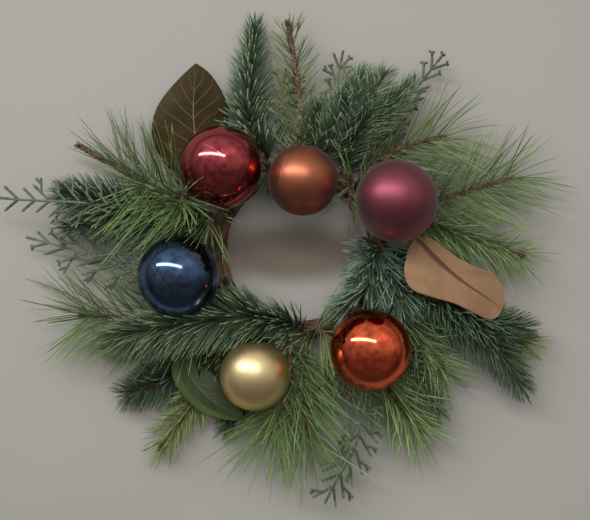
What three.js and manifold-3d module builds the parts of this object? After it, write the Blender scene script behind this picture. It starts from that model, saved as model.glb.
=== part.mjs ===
// A wall wreath: a ring of twisted vine with sprays of pine, fir and cedar pushed into it,
// three magnolia leaves, and six tree balls tied to it with wire.
// Millimetres, +X right, +Z up, -Y towards the room. The origin is where a nail carries the ring.

import * as THREE from "three";
import { mergeVertices } from "three/addons/utils/BufferGeometryUtils.js";
import Module from "manifold-3d";

const wasm = await Module();
wasm.setup();

// Places below are written round the ring's centre, as [right, out from the wall (negative), up].
const clearance = 0.3;
const needleClearance = 0.45; // from a needle to the other pieces
const gapInSpray = 0.12; // between two needles of one spray
const margin = 0.2; // added to what stands for a ball or cap while needles are placed

const ring = {
  radius: 71, // centre of the vine bundle
  depth: 8, // centre of the bundle in front of the wall
  crest: 8.7,
  groove: 6.6,
  strands: 4,
  turns: 2,
  lay: 237, // turns a crest towards the nail at the top
  steps: 30,
  nailSeat: 63.6, // height of the flat where the nail sits
  nailSeatHalf: 13,
};

const holeInFoliage = { x: [-46, 36], z: [-40, 26] };

const ballSizes = { large: 35, small: 30 };

const balls = [
  {
    name: "red",
    size: "large",
    at: [-66, -50, 71],
    cap: [0.64, 0.75, 0.12],
    tie: [118, 40],
    color: "#7c1a20",
  },
  {
    name: "copper",
    size: "small",
    at: [4, -52, 59],
    cap: [0.7, 0.7, -0.1],
    tie: [62, 125],
    color: "#9c4a2c",
  },
  {
    name: "burgundy",
    size: "large",
    at: [83, -62, 41],
    cap: [-0.1, 0.62, 0.78],
    tie: [40, 70],
    color: "#6c1c34",
  },
  {
    name: "blue",
    size: "large",
    at: [-102, -54, -23],
    cap: [0.22, 0.75, 0.61],
    tie: [182, 45],
    color: "#18324e",
  },
  {
    name: "gold",
    size: "small",
    at: [-37, -46, -108],
    cap: [-0.1, 0.7, 0.71],
    tie: [240, 55],
    color: "#b8a266",
  },
  {
    name: "orange",
    size: "large",
    at: [62, -50, -86],
    cap: [0.24, 0.75, 0.61],
    tie: [-42, 45],
    color: "#b03a1c",
  },
];

const cap = {
  radius: 7.6,
  height: 5.6,
  neck: 3.6,
  neckDepth: 5,
  sides: 7,
  eye: 3.2, // the wire loop's radius
  eyeSunk: 0.5,
  wire: 0.75,
};
const tieWire = { radius: 0.6, sides: 4, steps: 9 };

// Kinds of twig. Lengths and leans run from the root of the spray to its tip, and hold is how long
// they keep to the root's.
const fir = {
  stem: [1.7, 0.8],
  sides: 5,
  pitch: 6.2,
  bare: 5,
  needle: [27, 14],
  lean: [53, 28],
  hold: 3,
  spread: 12,
  color: "#4d5c44",
};
const bigFir = { ...fir, needle: [32, 18] };
const smallFir = { ...fir, needle: [18, 11] };
const pine = {
  stem: [2.1, 1.1],
  sides: 4,
  pitch: 9.6,
  collar: 2.4, // length of each node that bears needles
  turn: 24, // degrees from one node to the next
  bare: 8,
  needle: [64, 60],
  lean: [54, 36],
  hold: 1.2,
  arch: 12,
  archedOneIn: 8,
  thin: 0.62,
  spread: 24,
  color: "#5a7a46",
};
const midPine = { ...pine, needle: [52, 36] };
const shortPine = { ...pine, pitch: 11, needle: [32, 24], arch: 10 };
const cedar = {
  stem: [1.8, 1.2],
  sides: 4,
  pitch: 14,
  collar: 2.8,
  bare: 12,
  branchlet: [24, 15],
  lean: [42, 38],
  thin: 1.15,
  color: "#5d6f58",
};

// Each spray: where its stem enters the ring, as [clock angle, angle round the bundle from its outer
// side to the front], and the points that the stem passes on its way out. Sway is how far its needles
// hang or rise, and bearing the part of the stem that bears them.
const sprays = [
  {
    name: "fir_top",
    kind: { ...fir, needle: [29, 14], lean: [56, 30] },
    root: [109, 8],
    route: [[-42, -12, 108], [-41, -13, 150], [-38, -15, 197]],
  },
  {
    name: "pine_top",
    kind: shortPine,
    root: [92, 35],
    route: [[2, -15, 105], [-1, -24, 150], [-9, -29, 188]],
  },
  { name: "fir_top_small", kind: fir, root: [82, 10], route: [[17, -17, 100], [17, -26, 126]] },
  {
    name: "fir_top_middle",
    kind: bigFir,
    root: [73, 40],
    route: [[32, -24, 100], [44, -34, 128], [56, -38, 152]],
  },
  {
    name: "fir_top_right",
    kind: bigFir,
    root: [62, 20],
    route: [[52, -30, 100], [76, -42, 120], [96, -44, 142]],
  },
  {
    name: "pine_upper_right",
    kind: pine,
    root: [48, 15],
    route: [[68, -18, 76], [92, -24, 90], [129, -30, 99]],
    sway: [0.1, 0, 0.15],
  },
  { name: "pine_right", kind: pine, root: [31, 15], route: [[92, -12, 44], [118, -16, 44], [188, -34, 63]] },
  { name: "pine_right_low", kind: midPine, root: [18, 15], route: [[125, -15, 20], [197, -26, -5]] },
  { name: "pine_bud_right", kind: shortPine, root: [-12, 0], route: [[134, -12, -44], [200, -16, -84]] },
  {
    name: "fir_right_low",
    kind: bigFir,
    root: [-21, 20],
    route: [[124, -24, -51], [165, -30, -78], [194, -26, -118]],
  },
  {
    name: "fir_right_mid",
    kind: bigFir,
    root: [-2, 20],
    route: [[116, -26, -30], [158, -34, -60], [196, -30, -68]],
  },
  {
    name: "fir_inner_right",
    kind: bigFir,
    root: [4, 80],
    route: [[70, -28, -16], [56, -33, -38], [36, -34, -56]],
  },
  { name: "fir_inner_low", kind: bigFir, root: [-11, 45], route: [[84, -24, -22], [90, -30, -50]] },
  { name: "pine_low_right", kind: midPine, root: [-29, 5], route: [[99, -12, -71], [132, -18, -112]] },
  { name: "fir_low_right", kind: fir, root: [-45, 0], route: [[100, -14, -107], [124, -26, -145]] },
  {
    name: "pine_bottom_right",
    kind: midPine,
    root: [-56, 0],
    route: [[78, -12, -120], [108, -24, -161]],
    sway: [0, 0, -0.2],
  },
  { name: "pine_bottom", kind: pine, root: [-84, 10], route: [[4, -20, -118], [9, -26, -171]] },
  { name: "pine_bottom_left", kind: pine, root: [-96, 25], route: [[-8, -24, -112], [-26, -32, -165]] },
  {
    name: "fir_front_low",
    kind: { ...bigFir, needle: [36, 22] },
    root: [-86, 100],
    route: [[-42, -36, -58], [-110, -44, -66], [-158, -40, -77]],
    sway: [0, 0, -0.2],
  },
  { name: "fir_bottom_small", kind: fir, root: [-110, 0], route: [[-48, -10, -128], [-64, -13, -160]] },
  {
    name: "pine_bottom_short",
    kind: shortPine,
    root: [-127, 0],
    route: [[-82, -9, -120], [-122, -14, -176]],
  },
  { name: "fir_bottom_left", kind: bigFir, root: [-139, 5], route: [[-104, -9, -107], [-152, -15, -128]] },
  { name: "pine_left_low", kind: pine, root: [212, 20], route: [[-117, -18, -58], [-191, -24, -57]] },
  { name: "fir_left_low", kind: smallFir, root: [206, 0], route: [[-118, -10, -80], [-168, -11, -90]] },
  {
    name: "fir_left",
    kind: bigFir,
    root: [167, 25],
    route: [[-110, -18, 26], [-147, -22, 36], [-205, -25, 50]],
  },
  {
    name: "pine_left",
    kind: pine,
    root: [158, 55],
    route: [[-104, -33, 42], [-138, -42, 56]],
    sway: [0, 0, -0.55],
  },
  {
    name: "pine_upper_left",
    kind: pine,
    root: [147, 5],
    route: [[-98, -12, 48], [-130, -16, 57], [-193, -22, 92]],
    sway: [0.25, 0, 0.75],
    bearing: [0.25, 0.8],
  },
];

const cedars = [
  { name: "cedar_top", root: [99, 0], route: [[-20, -12, 106], [-12, -15, 151]] },
  {
    name: "cedar_top_right",
    kind: { ...cedar, branchlet: [30, 18], lean: [30, 28] },
    root: [75, 0],
    route: [[29, -12, 120], [38, -15, 167]],
  },
  {
    name: "cedar_upper_right",
    kind: { ...cedar, branchlet: [30, 18], lean: [32, 30] },
    root: [56, 0],
    route: [[76, -12, 106], [122, -18, 165]],
  },
  {
    name: "cedar_bottom",
    kind: { ...cedar, branchlet: [40, 19], lean: [34, 36] },
    root: [-68, 0],
    route: [[44, -20, -118], [53, -30, -158], [27, -30, -213]],
  },
  {
    name: "cedar_left_low",
    kind: { ...cedar, branchlet: [58, 17], lean: [28, 30] },
    root: [193, 0],
    route: [[-148, -11, -11], [-231, -16, 9]],
  },
  { name: "cedar_left", root: [176, 5], route: [[-110, -14, 14], [-157, -32, 36], [-250, -36, 44]] },
];

// Left and right are the blade's widths to each side of its midrib, as [share of its length, width].
const leaves = [
  {
    name: "leaf_top_left",
    root: [131, 0],
    route: [[-70, -8, 66], [-86, -9, 84], [-92, -15, 115], [-89.5, -21, 163]],
    blade: 0.17,
    camber: 5,
    left: [
      [0, 0.6], [0.15, 18], [0.3, 32], [0.47, 37.5],
      [0.63, 32.5], [0.78, 21.5], [0.92, 9], [1, 0.6],
    ],
    right: [
      [0, 0.6], [0.15, 14], [0.3, 24], [0.5, 30],
      [0.7, 29], [0.84, 21], [0.94, 11], [1, 0.6],
    ],
    face: [0.1, -1, 0],
    color: "#3b311c",
  },
  {
    name: "leaf_tan",
    root: [9, 45],
    route: [[93, -26, 18], [107, -38, 6], [125, -45, -13], [142, -47, -28], [160, -43, -40], [177, -37, -51]],
    blade: 0.3,
    camber: -3,
    left: [
      [0, 1], [0.08, 7], [0.2, 10], [0.4, 13], [0.6, 17],
      [0.76, 20], [0.9, 15], [0.97, 7], [1, 3],
    ],
    right: [
      [0, 1], [0.06, 16], [0.18, 30], [0.3, 35], [0.45, 28],
      [0.6, 20], [0.8, 17.5], [0.95, 14], [1, 5],
    ],
    face: [-0.1, -1, 0.25],
    color: "#8e7058",
  },
  {
    name: "leaf_green",
    root: [219, 40],
    route: [[-84, -20, -80], [-97, -24, -102], [-79, -26, -128], [-46, -25, -149]],
    blade: 0.32,
    camber: 2.5,
    left: [[0, 0.6], [0.2, 11], [0.5, 18], [0.75, 15], [0.9, 8], [1, 0.6]],
    right: [[0, 0.6], [0.2, 12], [0.45, 15.5], [0.7, 13], [0.9, 6], [1, 0.6]],
    face: [0, -1, 0.1],
    color: "#48503a",
  },
];
const leafThickness = 0.9;
const petioleRadius = 1.5;

const vec = (x, y, z) => new THREE.Vector3(x, y, z);
const mix = THREE.MathUtils.lerp;
const radians = THREE.MathUtils.degToRad;

// The same draws each time, from one seed.
let seed = 2917;
function random(low, high) {
  seed = (seed * 48271) % 2147483647;
  return low + ((high - low) * seed) / 2147483647;
}

// A point of the vine bundle: the clock angle from the right side, anticlockwise, then the distance
// from the bundle's centre and the angle round it.
function onRing([clock, round], distance) {
  const a = radians(clock);
  const r = radians(round);
  const outward = vec(Math.cos(a), 0, Math.sin(a));
  return outward
    .clone()
    .multiplyScalar(ring.radius + distance * Math.cos(r))
    .add(vec(0, -ring.depth - distance * Math.sin(r), 0));
}

// What is already placed, as round-ended rods that may taper. New needles keep clear of them.
const rods = [];

function addRod(node, a, b, ra, rb = ra, stem = false) {
  const reach = Math.max(ra, rb);
  rods.push({
    node,
    a: a.clone(),
    b: b.clone(),
    ra,
    rb,
    stem,
    box: new THREE.Box3().setFromPoints([a, b]).expandByScalar(reach),
  });
}

// The least distance between two tapered rods' skins.
function gapBetween(p, q) {
  const d1 = p.b.clone().sub(p.a);
  const d2 = q.b.clone().sub(q.a);
  const r = p.a.clone().sub(q.a);
  const a = d1.lengthSq();
  const e = d2.lengthSq();
  const f = d2.dot(r);
  const small = 1e-9;
  let s = 0;
  let t = 0;
  if (a > small) {
    const c = d1.dot(r);
    const b = d1.dot(d2);
    const denominator = a * e - b * b;
    s = denominator > small ? THREE.MathUtils.clamp((b * f - c * e) / denominator, 0, 1) : 0;
    t = e > small ? (b * s + f) / e : 0;
    if (t < 0 || t > 1 || e <= small) {
      t = THREE.MathUtils.clamp(t, 0, 1);
      s = THREE.MathUtils.clamp((b * t - c) / a, 0, 1);
    }
  } else {
    t = e > small ? THREE.MathUtils.clamp(f / e, 0, 1) : 0;
  }
  const onFirst = p.a.clone().addScaledVector(d1, s);
  const onSecond = q.a.clone().addScaledVector(d2, t);
  return onFirst.distanceTo(onSecond) - mix(p.ra, p.rb, s) - mix(q.ra, q.rb, t);
}

// Close to their common stem two needles of one spray share corners, so only their outer parts count,
// and less of them where they are measured against the stem itself.
const sharedPart = 0.28;
const partByStem = 0.5;

function outerPart(rod, share = sharedPart) {
  return { ...rod, a: rod.a.clone().lerp(rod.b, share), ra: mix(rod.ra, rod.rb, share) };
}

function isClear(rod, isFirstPiece) {
  for (const end of [rod.a, rod.b]) if (end.y > -0.6) return false;
  for (const t of [0, 0.25, 0.5, 0.75, 1]) {
    const p = rod.a.clone().lerp(rod.b, t);
    const inX = p.x > holeInFoliage.x[0] - 1 && p.x < holeInFoliage.x[1] + 1;
    const inZ = p.z > holeInFoliage.z[0] - 1 && p.z < holeInFoliage.z[1] + 1;
    if (inX && inZ) return false;
  }
  const reach = Math.max(rod.ra, rod.rb) + needleClearance;
  const box = new THREE.Box3().setFromPoints([rod.a, rod.b]).expandByScalar(reach);
  for (const other of rods) {
    if (!other.box.intersectsBox(box)) continue;
    if (other.node !== rod.node) {
      if (gapBetween(rod, other) < needleClearance) return false;
    } else {
      const mine = isFirstPiece ? outerPart(rod, other.stem ? partByStem : sharedPart) : rod;
      const theirs = other.first ? outerPart(other) : other;
      if (gapBetween(mine, theirs) < gapInSpray) return false;
    }
  }
  return true;
}

// A closed surface in the making: corners, and the triangles between them.
function newBody(name) {
  return { name, corners: [], faces: [] };
}

function addCorner(body, point) {
  body.corners.push(point.clone());
  return body.corners.length - 1;
}

function geometryOf(body) {
  const geometry = new THREE.BufferGeometry();
  const positions = body.corners.flatMap((p) => [p.x, p.y, p.z]);
  geometry.setAttribute("position", new THREE.Float32BufferAttribute(positions, 3));
  geometry.setIndex(body.faces.flat());
  return geometry;
}

// Draws one triangle of a surface out along a path. Each step gives a place and the radius of the
// triangle there, and a last step with no radius ends in a point. Returns the triangles of the sides.
function drawOut(body, facet, steps) {
  const sides = [];
  let from = facet;
  const centre = facet.reduce((sum, i) => sum.add(body.corners[i]), vec(0, 0, 0)).divideScalar(3);
  const offsets = facet.map((i) => body.corners[i].clone().sub(centre));
  let last = centre;
  for (const { place, radius } of steps) {
    if (!radius) {
      const tip = addCorner(body, place);
      for (let k = 0; k < 3; k++) body.faces.push([from[k], from[(k + 1) % 3], tip]);
      return sides;
    }
    const along = place.clone().sub(last).normalize();
    const next = offsets.map((offset) => {
      const across = offset.clone().addScaledVector(along, -offset.dot(along)).setLength(radius);
      return addCorner(body, place.clone().add(across));
    });
    for (let k = 0; k < 3; k++) {
      const n = (k + 1) % 3;
      sides.push([from[k], from[n], next[n]], [from[k], next[n], next[k]]);
    }
    from = next;
    last = place;
  }
  return [...sides, from];
}

// Sections along a stem: its pointed end in the ring, then one section each pitch, with the frame there.
function stemSections(root, route, kind) {
  const inner = onRing(root, 2.2);
  const mouth = onRing(root, ring.crest + 0.8);
  const points = [inner, mouth, ...route.map((p) => vec(...p))];
  const curve = new THREE.CatmullRomCurve3(points, false, "centripetal");
  const length = curve.getLength();
  const start = inner.distanceTo(mouth);
  const end = length - 3;
  const count = Math.max(3, Math.round((end - start) / kind.pitch));
  const collar = kind.collar ?? 0;
  const places = [];
  for (let i = 0; i <= count; i++) {
    const distance = mix(start, end - collar, i / count);
    places.push({ distance, bearing: true });
    if (collar) places.push({ distance: distance + collar, bearing: false });
  }
  let across = vec(0.31, -0.87, 0.38);
  const sections = places.map(({ distance, bearing }) => {
    const u = distance / length;
    const along = curve.getTangentAt(u);
    across = across.clone().addScaledVector(along, -across.dot(along)).normalize();
    if (bearing && kind.turn) across.applyAxisAngle(along, radians(kind.turn));
    const share = (distance - start) / (end - start);
    return {
      centre: curve.getPointAt(u),
      along,
      across,
      beside: along.clone().cross(across),
      radius: mix(kind.stem[0], kind.stem[1], share),
      distance: distance - start,
      share,
      bearing,
    };
  });
  return { inner, sections, tip: curve.getPointAt(1) };
}

function radialAt(section, turn) {
  return section.across
    .clone()
    .multiplyScalar(Math.cos(turn))
    .addScaledVector(section.beside, Math.sin(turn));
}

// The stem of a spray as a tube with pointed ends, less the triangles that may bear a needle. A node
// with a collar bears two to a side, which lean apart.
function buildStem(body, stem, sides, twins = false) {
  const root = addCorner(body, stem.inner);
  const loops = stem.sections.map((section) =>
    Array.from({ length: sides }, (_, k) => {
      const radial = radialAt(section, (2 * Math.PI * k) / sides);
      return addCorner(body, section.centre.clone().addScaledVector(radial, section.radius));
    }),
  );
  const tip = addCorner(body, stem.tip);
  const seats = [];
  for (let k = 0; k < sides; k++) {
    const n = (k + 1) % sides;
    body.faces.push([root, loops[0][n], loops[0][k]], [loops.at(-1)[k], loops.at(-1)[n], tip]);
    for (let i = 0; i + 1 < loops.length; i++) {
      const [a, b, c, d] = [loops[i][k], loops[i + 1][k], loops[i + 1][n], loops[i][n]];
      const section = stem.sections[i];
      const turn = (2 * Math.PI * (k + 0.5)) / sides;
      if (!section.bearing) {
        body.faces.push([a, d, c], [a, c, b]);
        continue;
      }
      seats.push({ facet: [a, c, b], section, turn, hand: twins ? -1 : 0 });
      if (twins) seats.push({ facet: [a, d, c], section, turn, hand: 1 });
      else body.faces.push([a, d, c]);
    }
  }
  return seats;
}

function placeStemRods(node, stem) {
  const list = stem.sections;
  addRod(node, stem.inner, list[0].centre, 0.4, list[0].radius, true);
  for (let i = 0; i + 1 < list.length; i++) {
    addRod(node, list[i].centre, list[i + 1].centre, list[i].radius, list[i + 1].radius, true);
  }
  addRod(node, list.at(-1).centre, stem.tip, list.at(-1).radius, 0.3, true);
}

// One needle as the places it passes. It leaves the stem outwards whatever its sway, and a needle that
// would meet the wall lies along it.
const leastOutward = 0.3;

function needlePath(root, seat, kind, sway, arched, leanBy, turnBy) {
  const { section, turn } = seat;
  const long = mix(kind.needle[0], kind.needle[1], section.share ** kind.hold) * random(0.9, 1.06);
  const lean = mix(kind.lean[0], kind.lean[1], section.share ** kind.hold) + leanBy;
  const radial = radialAt(section, turn + radians(turnBy));
  const heading = (degrees) => {
    const a = radians(degrees);
    const d = section.along.clone().multiplyScalar(Math.cos(a)).addScaledVector(radial, Math.sin(a));
    d.add(sway).normalize();
    d.addScaledVector(radial, Math.max(0, leastOutward - d.dot(radial))).normalize();
    d.y = Math.min(d.y, (-1.6 - root.y) / long);
    return d.normalize();
  };
  if (!arched) return [root.clone().addScaledVector(heading(lean - (kind.arch ?? 0) / 2), long)];
  const middle = root.clone().addScaledVector(heading(lean), long * 0.42);
  return [middle, middle.clone().addScaledVector(heading(lean - kind.arch), long * 0.58)];
}

function tryNeedle(body, seat, kind, sway) {
  const root = seat.facet.reduce((sum, i) => sum.add(body.corners[i]), vec(0, 0, 0)).divideScalar(3);
  const rootRadius = 2.1;
  const arched = kind.archedOneIn > 0 && random(0, kind.archedOneIn) < 1;
  for (let attempt = 0; attempt < 9; attempt++) {
    const leanBy = random(-0.6, 0.6) * (1 + attempt);
    const turnBy = seat.hand ? seat.hand * random(6, kind.spread) : random(-kind.spread, kind.spread);
    const path = needlePath(root, seat, kind, sway, arched, leanBy, turnBy);
    const pieces = [];
    let from = root;
    let radius = rootRadius;
    path.forEach((to, i) => {
      const end = i + 1 < path.length ? kind.thin : 0.15;
      pieces.push({ node: body.name, a: from, b: to, ra: radius, rb: end });
      from = to;
      radius = end;
    });
    if (!pieces.every((piece, i) => isClear(piece, i === 0))) continue;
    pieces.forEach((piece, i) => {
      addRod(body.name, piece.a, piece.b, piece.ra, piece.rb);
      rods.at(-1).first = i === 0;
    });
    const steps = path.map((place, i) => ({ place, radius: i + 1 < path.length ? kind.thin : 0 }));
    body.faces.push(...drawOut(body, seat.facet, steps));
    return true;
  }
  return false;
}

function sprayGeometry(spray, stem) {
  const kind = spray.kind;
  const body = newBody(spray.name);
  const sway = vec(...(spray.sway ?? [0, 0, 0]));
  const [first, last] = spray.bearing ?? [0, 1];
  for (const seat of buildStem(body, stem, kind.sides, kind.collar > 0)) {
    const { distance, share } = seat.section;
    const bare = distance < kind.bare || share < first || share > last;
    if (bare || !tryNeedle(body, seat, kind, sway)) body.faces.push(seat.facet);
  }
  return geometryOf(body);
}

// A branchlet of scale leaves: a rod that leaves the stem to the left or right, with short side
// prongs and a blunt end.
function tryBranchlet(body, seat, kind) {
  const { section } = seat;
  const root = seat.facet.reduce((sum, i) => sum.add(body.corners[i]), vec(0, 0, 0)).divideScalar(3);
  for (let attempt = 0; attempt < 7; attempt++) {
    const long = mix(kind.branchlet[0], kind.branchlet[1], section.share) * random(0.6, 1.1);
    const a = radians(mix(kind.lean[0], kind.lean[1], section.share) + random(-3, 3));
    const radial = radialAt(section, seat.turn);
    const way = section.along.clone().multiplyScalar(Math.cos(a)).addScaledVector(radial, Math.sin(a));
    way.y = THREE.MathUtils.clamp(way.y, -0.25, (-2.5 - root.y) / long);
    way.normalize();
    const middle = root.clone().addScaledVector(way, long * 0.5);
    const end = middle.clone().addScaledVector(way.clone().lerp(section.along, 0.25).normalize(), long * 0.5);
    const prong = long * 0.34;
    const prongAt = root.clone().lerp(middle, 0.72);
    const out = section.along.clone().addScaledVector(way, 0.5).normalize();
    const back = way.clone().addScaledVector(section.along, -0.6).normalize();
    const pieces = [
      { node: body.name, a: root, b: middle, ra: 1.4, rb: kind.thin },
      { node: body.name, a: middle, b: end, ra: kind.thin, rb: 0.3 },
    ];
    if (!pieces.every((piece, i) => isClear(piece, i === 0))) continue;
    const steps = [{ place: middle, radius: kind.thin }, { place: end }];
    const sides = drawOut(body, seat.facet, steps);
    pieces.forEach((piece, i) => {
      addRod(body.name, piece.a, piece.b, piece.ra, piece.rb);
      rods.at(-1).first = i === 0;
    });
    const prongs = [out, back].map((direction) => prongAt.clone().addScaledVector(direction, prong));
    finishSides(body, sides, prongs, prongAt);
    return true;
  }
  return false;
}

// Closes a branchlet, with a prong drawn out of each of the two side triangles that face its way.
function finishSides(body, sides, prongs, from) {
  const used = new Set();
  for (const place of prongs) {
    const rod = { node: body.name, a: from, b: place, ra: 1.1, rb: 0.7 };
    if (!isClear(rod, true)) continue;
    const wanted = place.clone().sub(from).normalize();
    let best = -1;
    let bestDot = 0.35;
    sides.slice(0, 6).forEach((facet, i) => {
      const [a, b, c] = facet.map((k) => body.corners[k]);
      const normal = new THREE.Triangle(a, b, c).getNormal(vec(0, 0, 0));
      if (normal.dot(wanted) > bestDot && !used.has(i >> 1)) {
        best = i;
        bestDot = normal.dot(wanted);
      }
    });
    if (best < 0) continue;
    used.add(best >> 1);
    drawOut(body, sides[best], [{ place }]);
    sides[best] = null;
    addRod(body.name, rod.a, rod.b, rod.ra, rod.rb);
    rods.at(-1).first = true;
  }
  for (const facet of sides) if (facet) body.faces.push(facet);
}

function cedarGeometry(spray, stem) {
  const body = newBody(spray.name);
  const kind = spray.kind ?? cedar;
  for (const seat of buildStem(body, stem, kind.sides)) {
    const bare = seat.section.distance < kind.bare;
    const flat = Math.abs(radialAt(seat.section, seat.turn).y) < 0.8;
    if (bare || !flat || !tryBranchlet(body, seat, kind)) body.faces.push(seat.facet);
  }
  return geometryOf(body);
}

// The width of a blade to one side, at a share of its length.
function widthAt(edge, share) {
  const next = Math.max(1, edge.findIndex(([place]) => place >= share));
  const [from, narrow] = edge[next - 1];
  const [to, wide] = edge[next];
  return mix(narrow, wide, (share - from) / (to - from));
}

// A leaf: a petiole that widens into a blade, cambered across and closed all round.
function leafGeometry(leaf) {
  const body = newBody(leaf.name);
  const stem = stemSections(leaf.root, leaf.route, { pitch: 11, stem: [petioleRadius, 0.6] });
  const face = vec(...leaf.face).normalize();
  const widest = Math.max(...[...leaf.left, ...leaf.right].map(([, width]) => width));
  const root = addCorner(body, stem.inner);
  const tip = addCorner(body, stem.tip);
  const columns = [-1, -0.55, 0, 0.55, 1];
  const lines = stem.sections.map(({ centre, along, radius, share }) => {
    const inBlade = Math.max(0, (share - leaf.blade) / (1 - leaf.blade));
    const widths = [leaf.left, leaf.right].map((edge) => (inBlade ? widthAt(edge, inBlade) : 0));
    const side = along.clone().cross(face).normalize();
    const up = side.clone().cross(along).normalize();
    const isBlade = Math.min(...widths) > radius;
    const thick = isBlade ? leafThickness / 2 : radius * 0.8;
    const place = (column, sign) => {
      const half = Math.max(widths[column > 0 ? 1 : 0], radius);
      const lift = isBlade ? leaf.camber * column * column * (half / widest) : 0;
      const level = thick * (column * column === 1 ? 0.65 : 1) * sign;
      return centre.clone().addScaledVector(side, half * column).addScaledVector(up, level - lift);
    };
    const upper = columns.map((column) => place(column, 1));
    const lower = columns.map((column) => place(column, -1));
    return { upper, lower };
  });
  const rows = lines.map(({ upper, lower }) => ({
    upper: upper.map((p) => addCorner(body, p)),
    lower: lower.map((p) => addCorner(body, p)),
  }));
  const last = columns.length - 1;
  const quad = (a, b, c, d) => body.faces.push([a, c, b], [a, d, c]);
  for (let i = 0; i + 1 < rows.length; i++) {
    const [m, n] = [rows[i], rows[i + 1]];
    for (let k = 0; k < last; k++) {
      quad(m.upper[k], n.upper[k], n.upper[k + 1], m.upper[k + 1]);
      body.faces.push([m.lower[k], n.lower[k], n.lower[k + 1]], [m.lower[k], n.lower[k + 1], m.lower[k + 1]]);
    }
    quad(m.lower[0], n.lower[0], n.upper[0], m.upper[0]);
    quad(m.upper[last], n.upper[last], n.lower[last], m.lower[last]);
  }
  for (const [row, point, first] of [[rows[0], root, true], [rows.at(-1), tip, false]]) {
    const loop = [...row.upper, ...[...row.lower].reverse()];
    loop.forEach((corner, i) => {
      const next = loop[(i + 1) % loop.length];
      body.faces.push(first ? [next, corner, point] : [corner, next, point]);
    });
  }
  lines.forEach(({ upper }, i) => {
    for (const part of i + 1 < lines.length ? [0, 1 / 3, 2 / 3] : [0]) {
      const next = lines[Math.min(i + 1, lines.length - 1)].upper;
      const across = upper.map((p, k) => p.clone().lerp(next[k], part));
      for (let k = 0; k < last; k++) addRod(leaf.name, across[k], across[k + 1], 2, 2, true);
    }
  });
  return { geometry: geometryOf(body), stem };
}

// Joins and cuts of closed solids.
function solidFrom(geometry) {
  const bare = geometry.clone();
  bare.deleteAttribute("normal");
  bare.deleteAttribute("uv");
  const merged = mergeVertices(bare, 1e-4);
  return new wasm.Manifold(
    new wasm.Mesh({
      numProp: 3,
      vertProperties: merged.attributes.position.array,
      triVerts: new Uint32Array(merged.index.array),
    }),
  );
}

function geometryFrom(solid) {
  const { vertProperties, triVerts } = solid.getMesh();
  const geometry = new THREE.BufferGeometry();
  geometry.setAttribute("position", new THREE.BufferAttribute(vertProperties, 3));
  geometry.setIndex(new THREE.BufferAttribute(triVerts, 1));
  return geometry;
}

// A pointed hole in the ring for a root: a cone round the line from its inner end to its mouth.
function holeFor(inner, mouth, radius) {
  const depth = inner.distanceTo(mouth);
  const beyond = 6;
  const along = mouth.clone().sub(inner).normalize();
  const sides = 4;
  const slope = (radius + clearance * 1.4) / Math.cos(Math.PI / sides) / depth;
  const extra = 0.8;
  const height = depth + extra + beyond;
  const cone = new THREE.ConeGeometry(slope * height, height, sides);
  cone.rotateX(Math.PI);
  cone.translate(0, height / 2 - extra, 0);
  cone.applyQuaternion(new THREE.Quaternion().setFromUnitVectors(vec(0, 1, 0), along));
  cone.translate(inner.x, inner.y, inner.z);
  return solidFrom(cone);
}

// Four vines laid round each other. Flats are dressed on the back, against the wall, and at the top
// of the inside, on the nail.
function ringGeometry(roots) {
  const body = newBody("vine_ring");
  const around = ring.strands * 3;
  const sections = [];
  for (let i = 0; i < ring.steps; i++) {
    const clock = (360 * i) / ring.steps;
    const twist = clock * ring.turns;
    sections.push(
      Array.from({ length: around }, (_, k) => {
        const reach = k % 3 === 0 ? ring.groove : ring.crest;
        const shift = [0, -4, 4][k % 3];
        return addCorner(body, onRing([clock, (360 * k) / around + shift + twist + ring.lay], reach));
      }),
    );
  }
  sections.forEach((section, i) => {
    const next = sections[(i + 1) % ring.steps];
    for (let k = 0; k < around; k++) {
      const n = (k + 1) % around;
      body.faces.push([section[k], next[k], next[n]], [section[k], next[n], section[n]]);
    }
  });
  let solid = solidFrom(geometryOf(body));
  const wallBox = new THREE.BoxGeometry(300, 20, 300).translate(0, 10, 0);
  const nailBox = new THREE.BoxGeometry(2 * ring.nailSeatHalf, 40, 20);
  nailBox.translate(0, -ring.depth, ring.nailSeat - 10);
  solid = solid.subtract(solidFrom(wallBox)).subtract(solidFrom(nailBox));
  for (const { inner, mouth, radius } of roots) solid = solid.subtract(holeFor(inner, mouth, radius));
  return geometryFrom(solid);
}

function addRingRods() {
  const count = 40;
  for (let i = 0; i < count; i++) {
    const a = onRing([(360 * i) / count, 0], 0);
    const b = onRing([(360 * (i + 1)) / count, 0], 0);
    addRod("vine_ring", a, b, ring.crest + 0.3);
  }
}

// Turns a shape made round the Z axis so that the axis points along a direction from a place.
function stand(geometry, place, direction) {
  geometry.applyQuaternion(new THREE.Quaternion().setFromUnitVectors(vec(0, 0, 1), direction));
  geometry.translate(place.x, place.y, place.z);
  return geometry;
}

// A tree ball with a short neck hole under its cap.
function ballGeometry(ball) {
  const radius = ballSizes[ball.size];
  const sphere = solidFrom(new THREE.IcosahedronGeometry(radius, 3));
  const bore = cap.neck + clearance;
  const neck = new THREE.CylinderGeometry(bore, bore, cap.neckDepth * 2 + 1, cap.sides);
  neck.rotateX(Math.PI / 2);
  neck.translate(0, 0, radius);
  const direction = vec(...ball.cap).normalize();
  const hole = solidFrom(stand(neck, vec(0, 0, 0), direction));
  return geometryFrom(sphere.subtract(hole));
}

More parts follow.
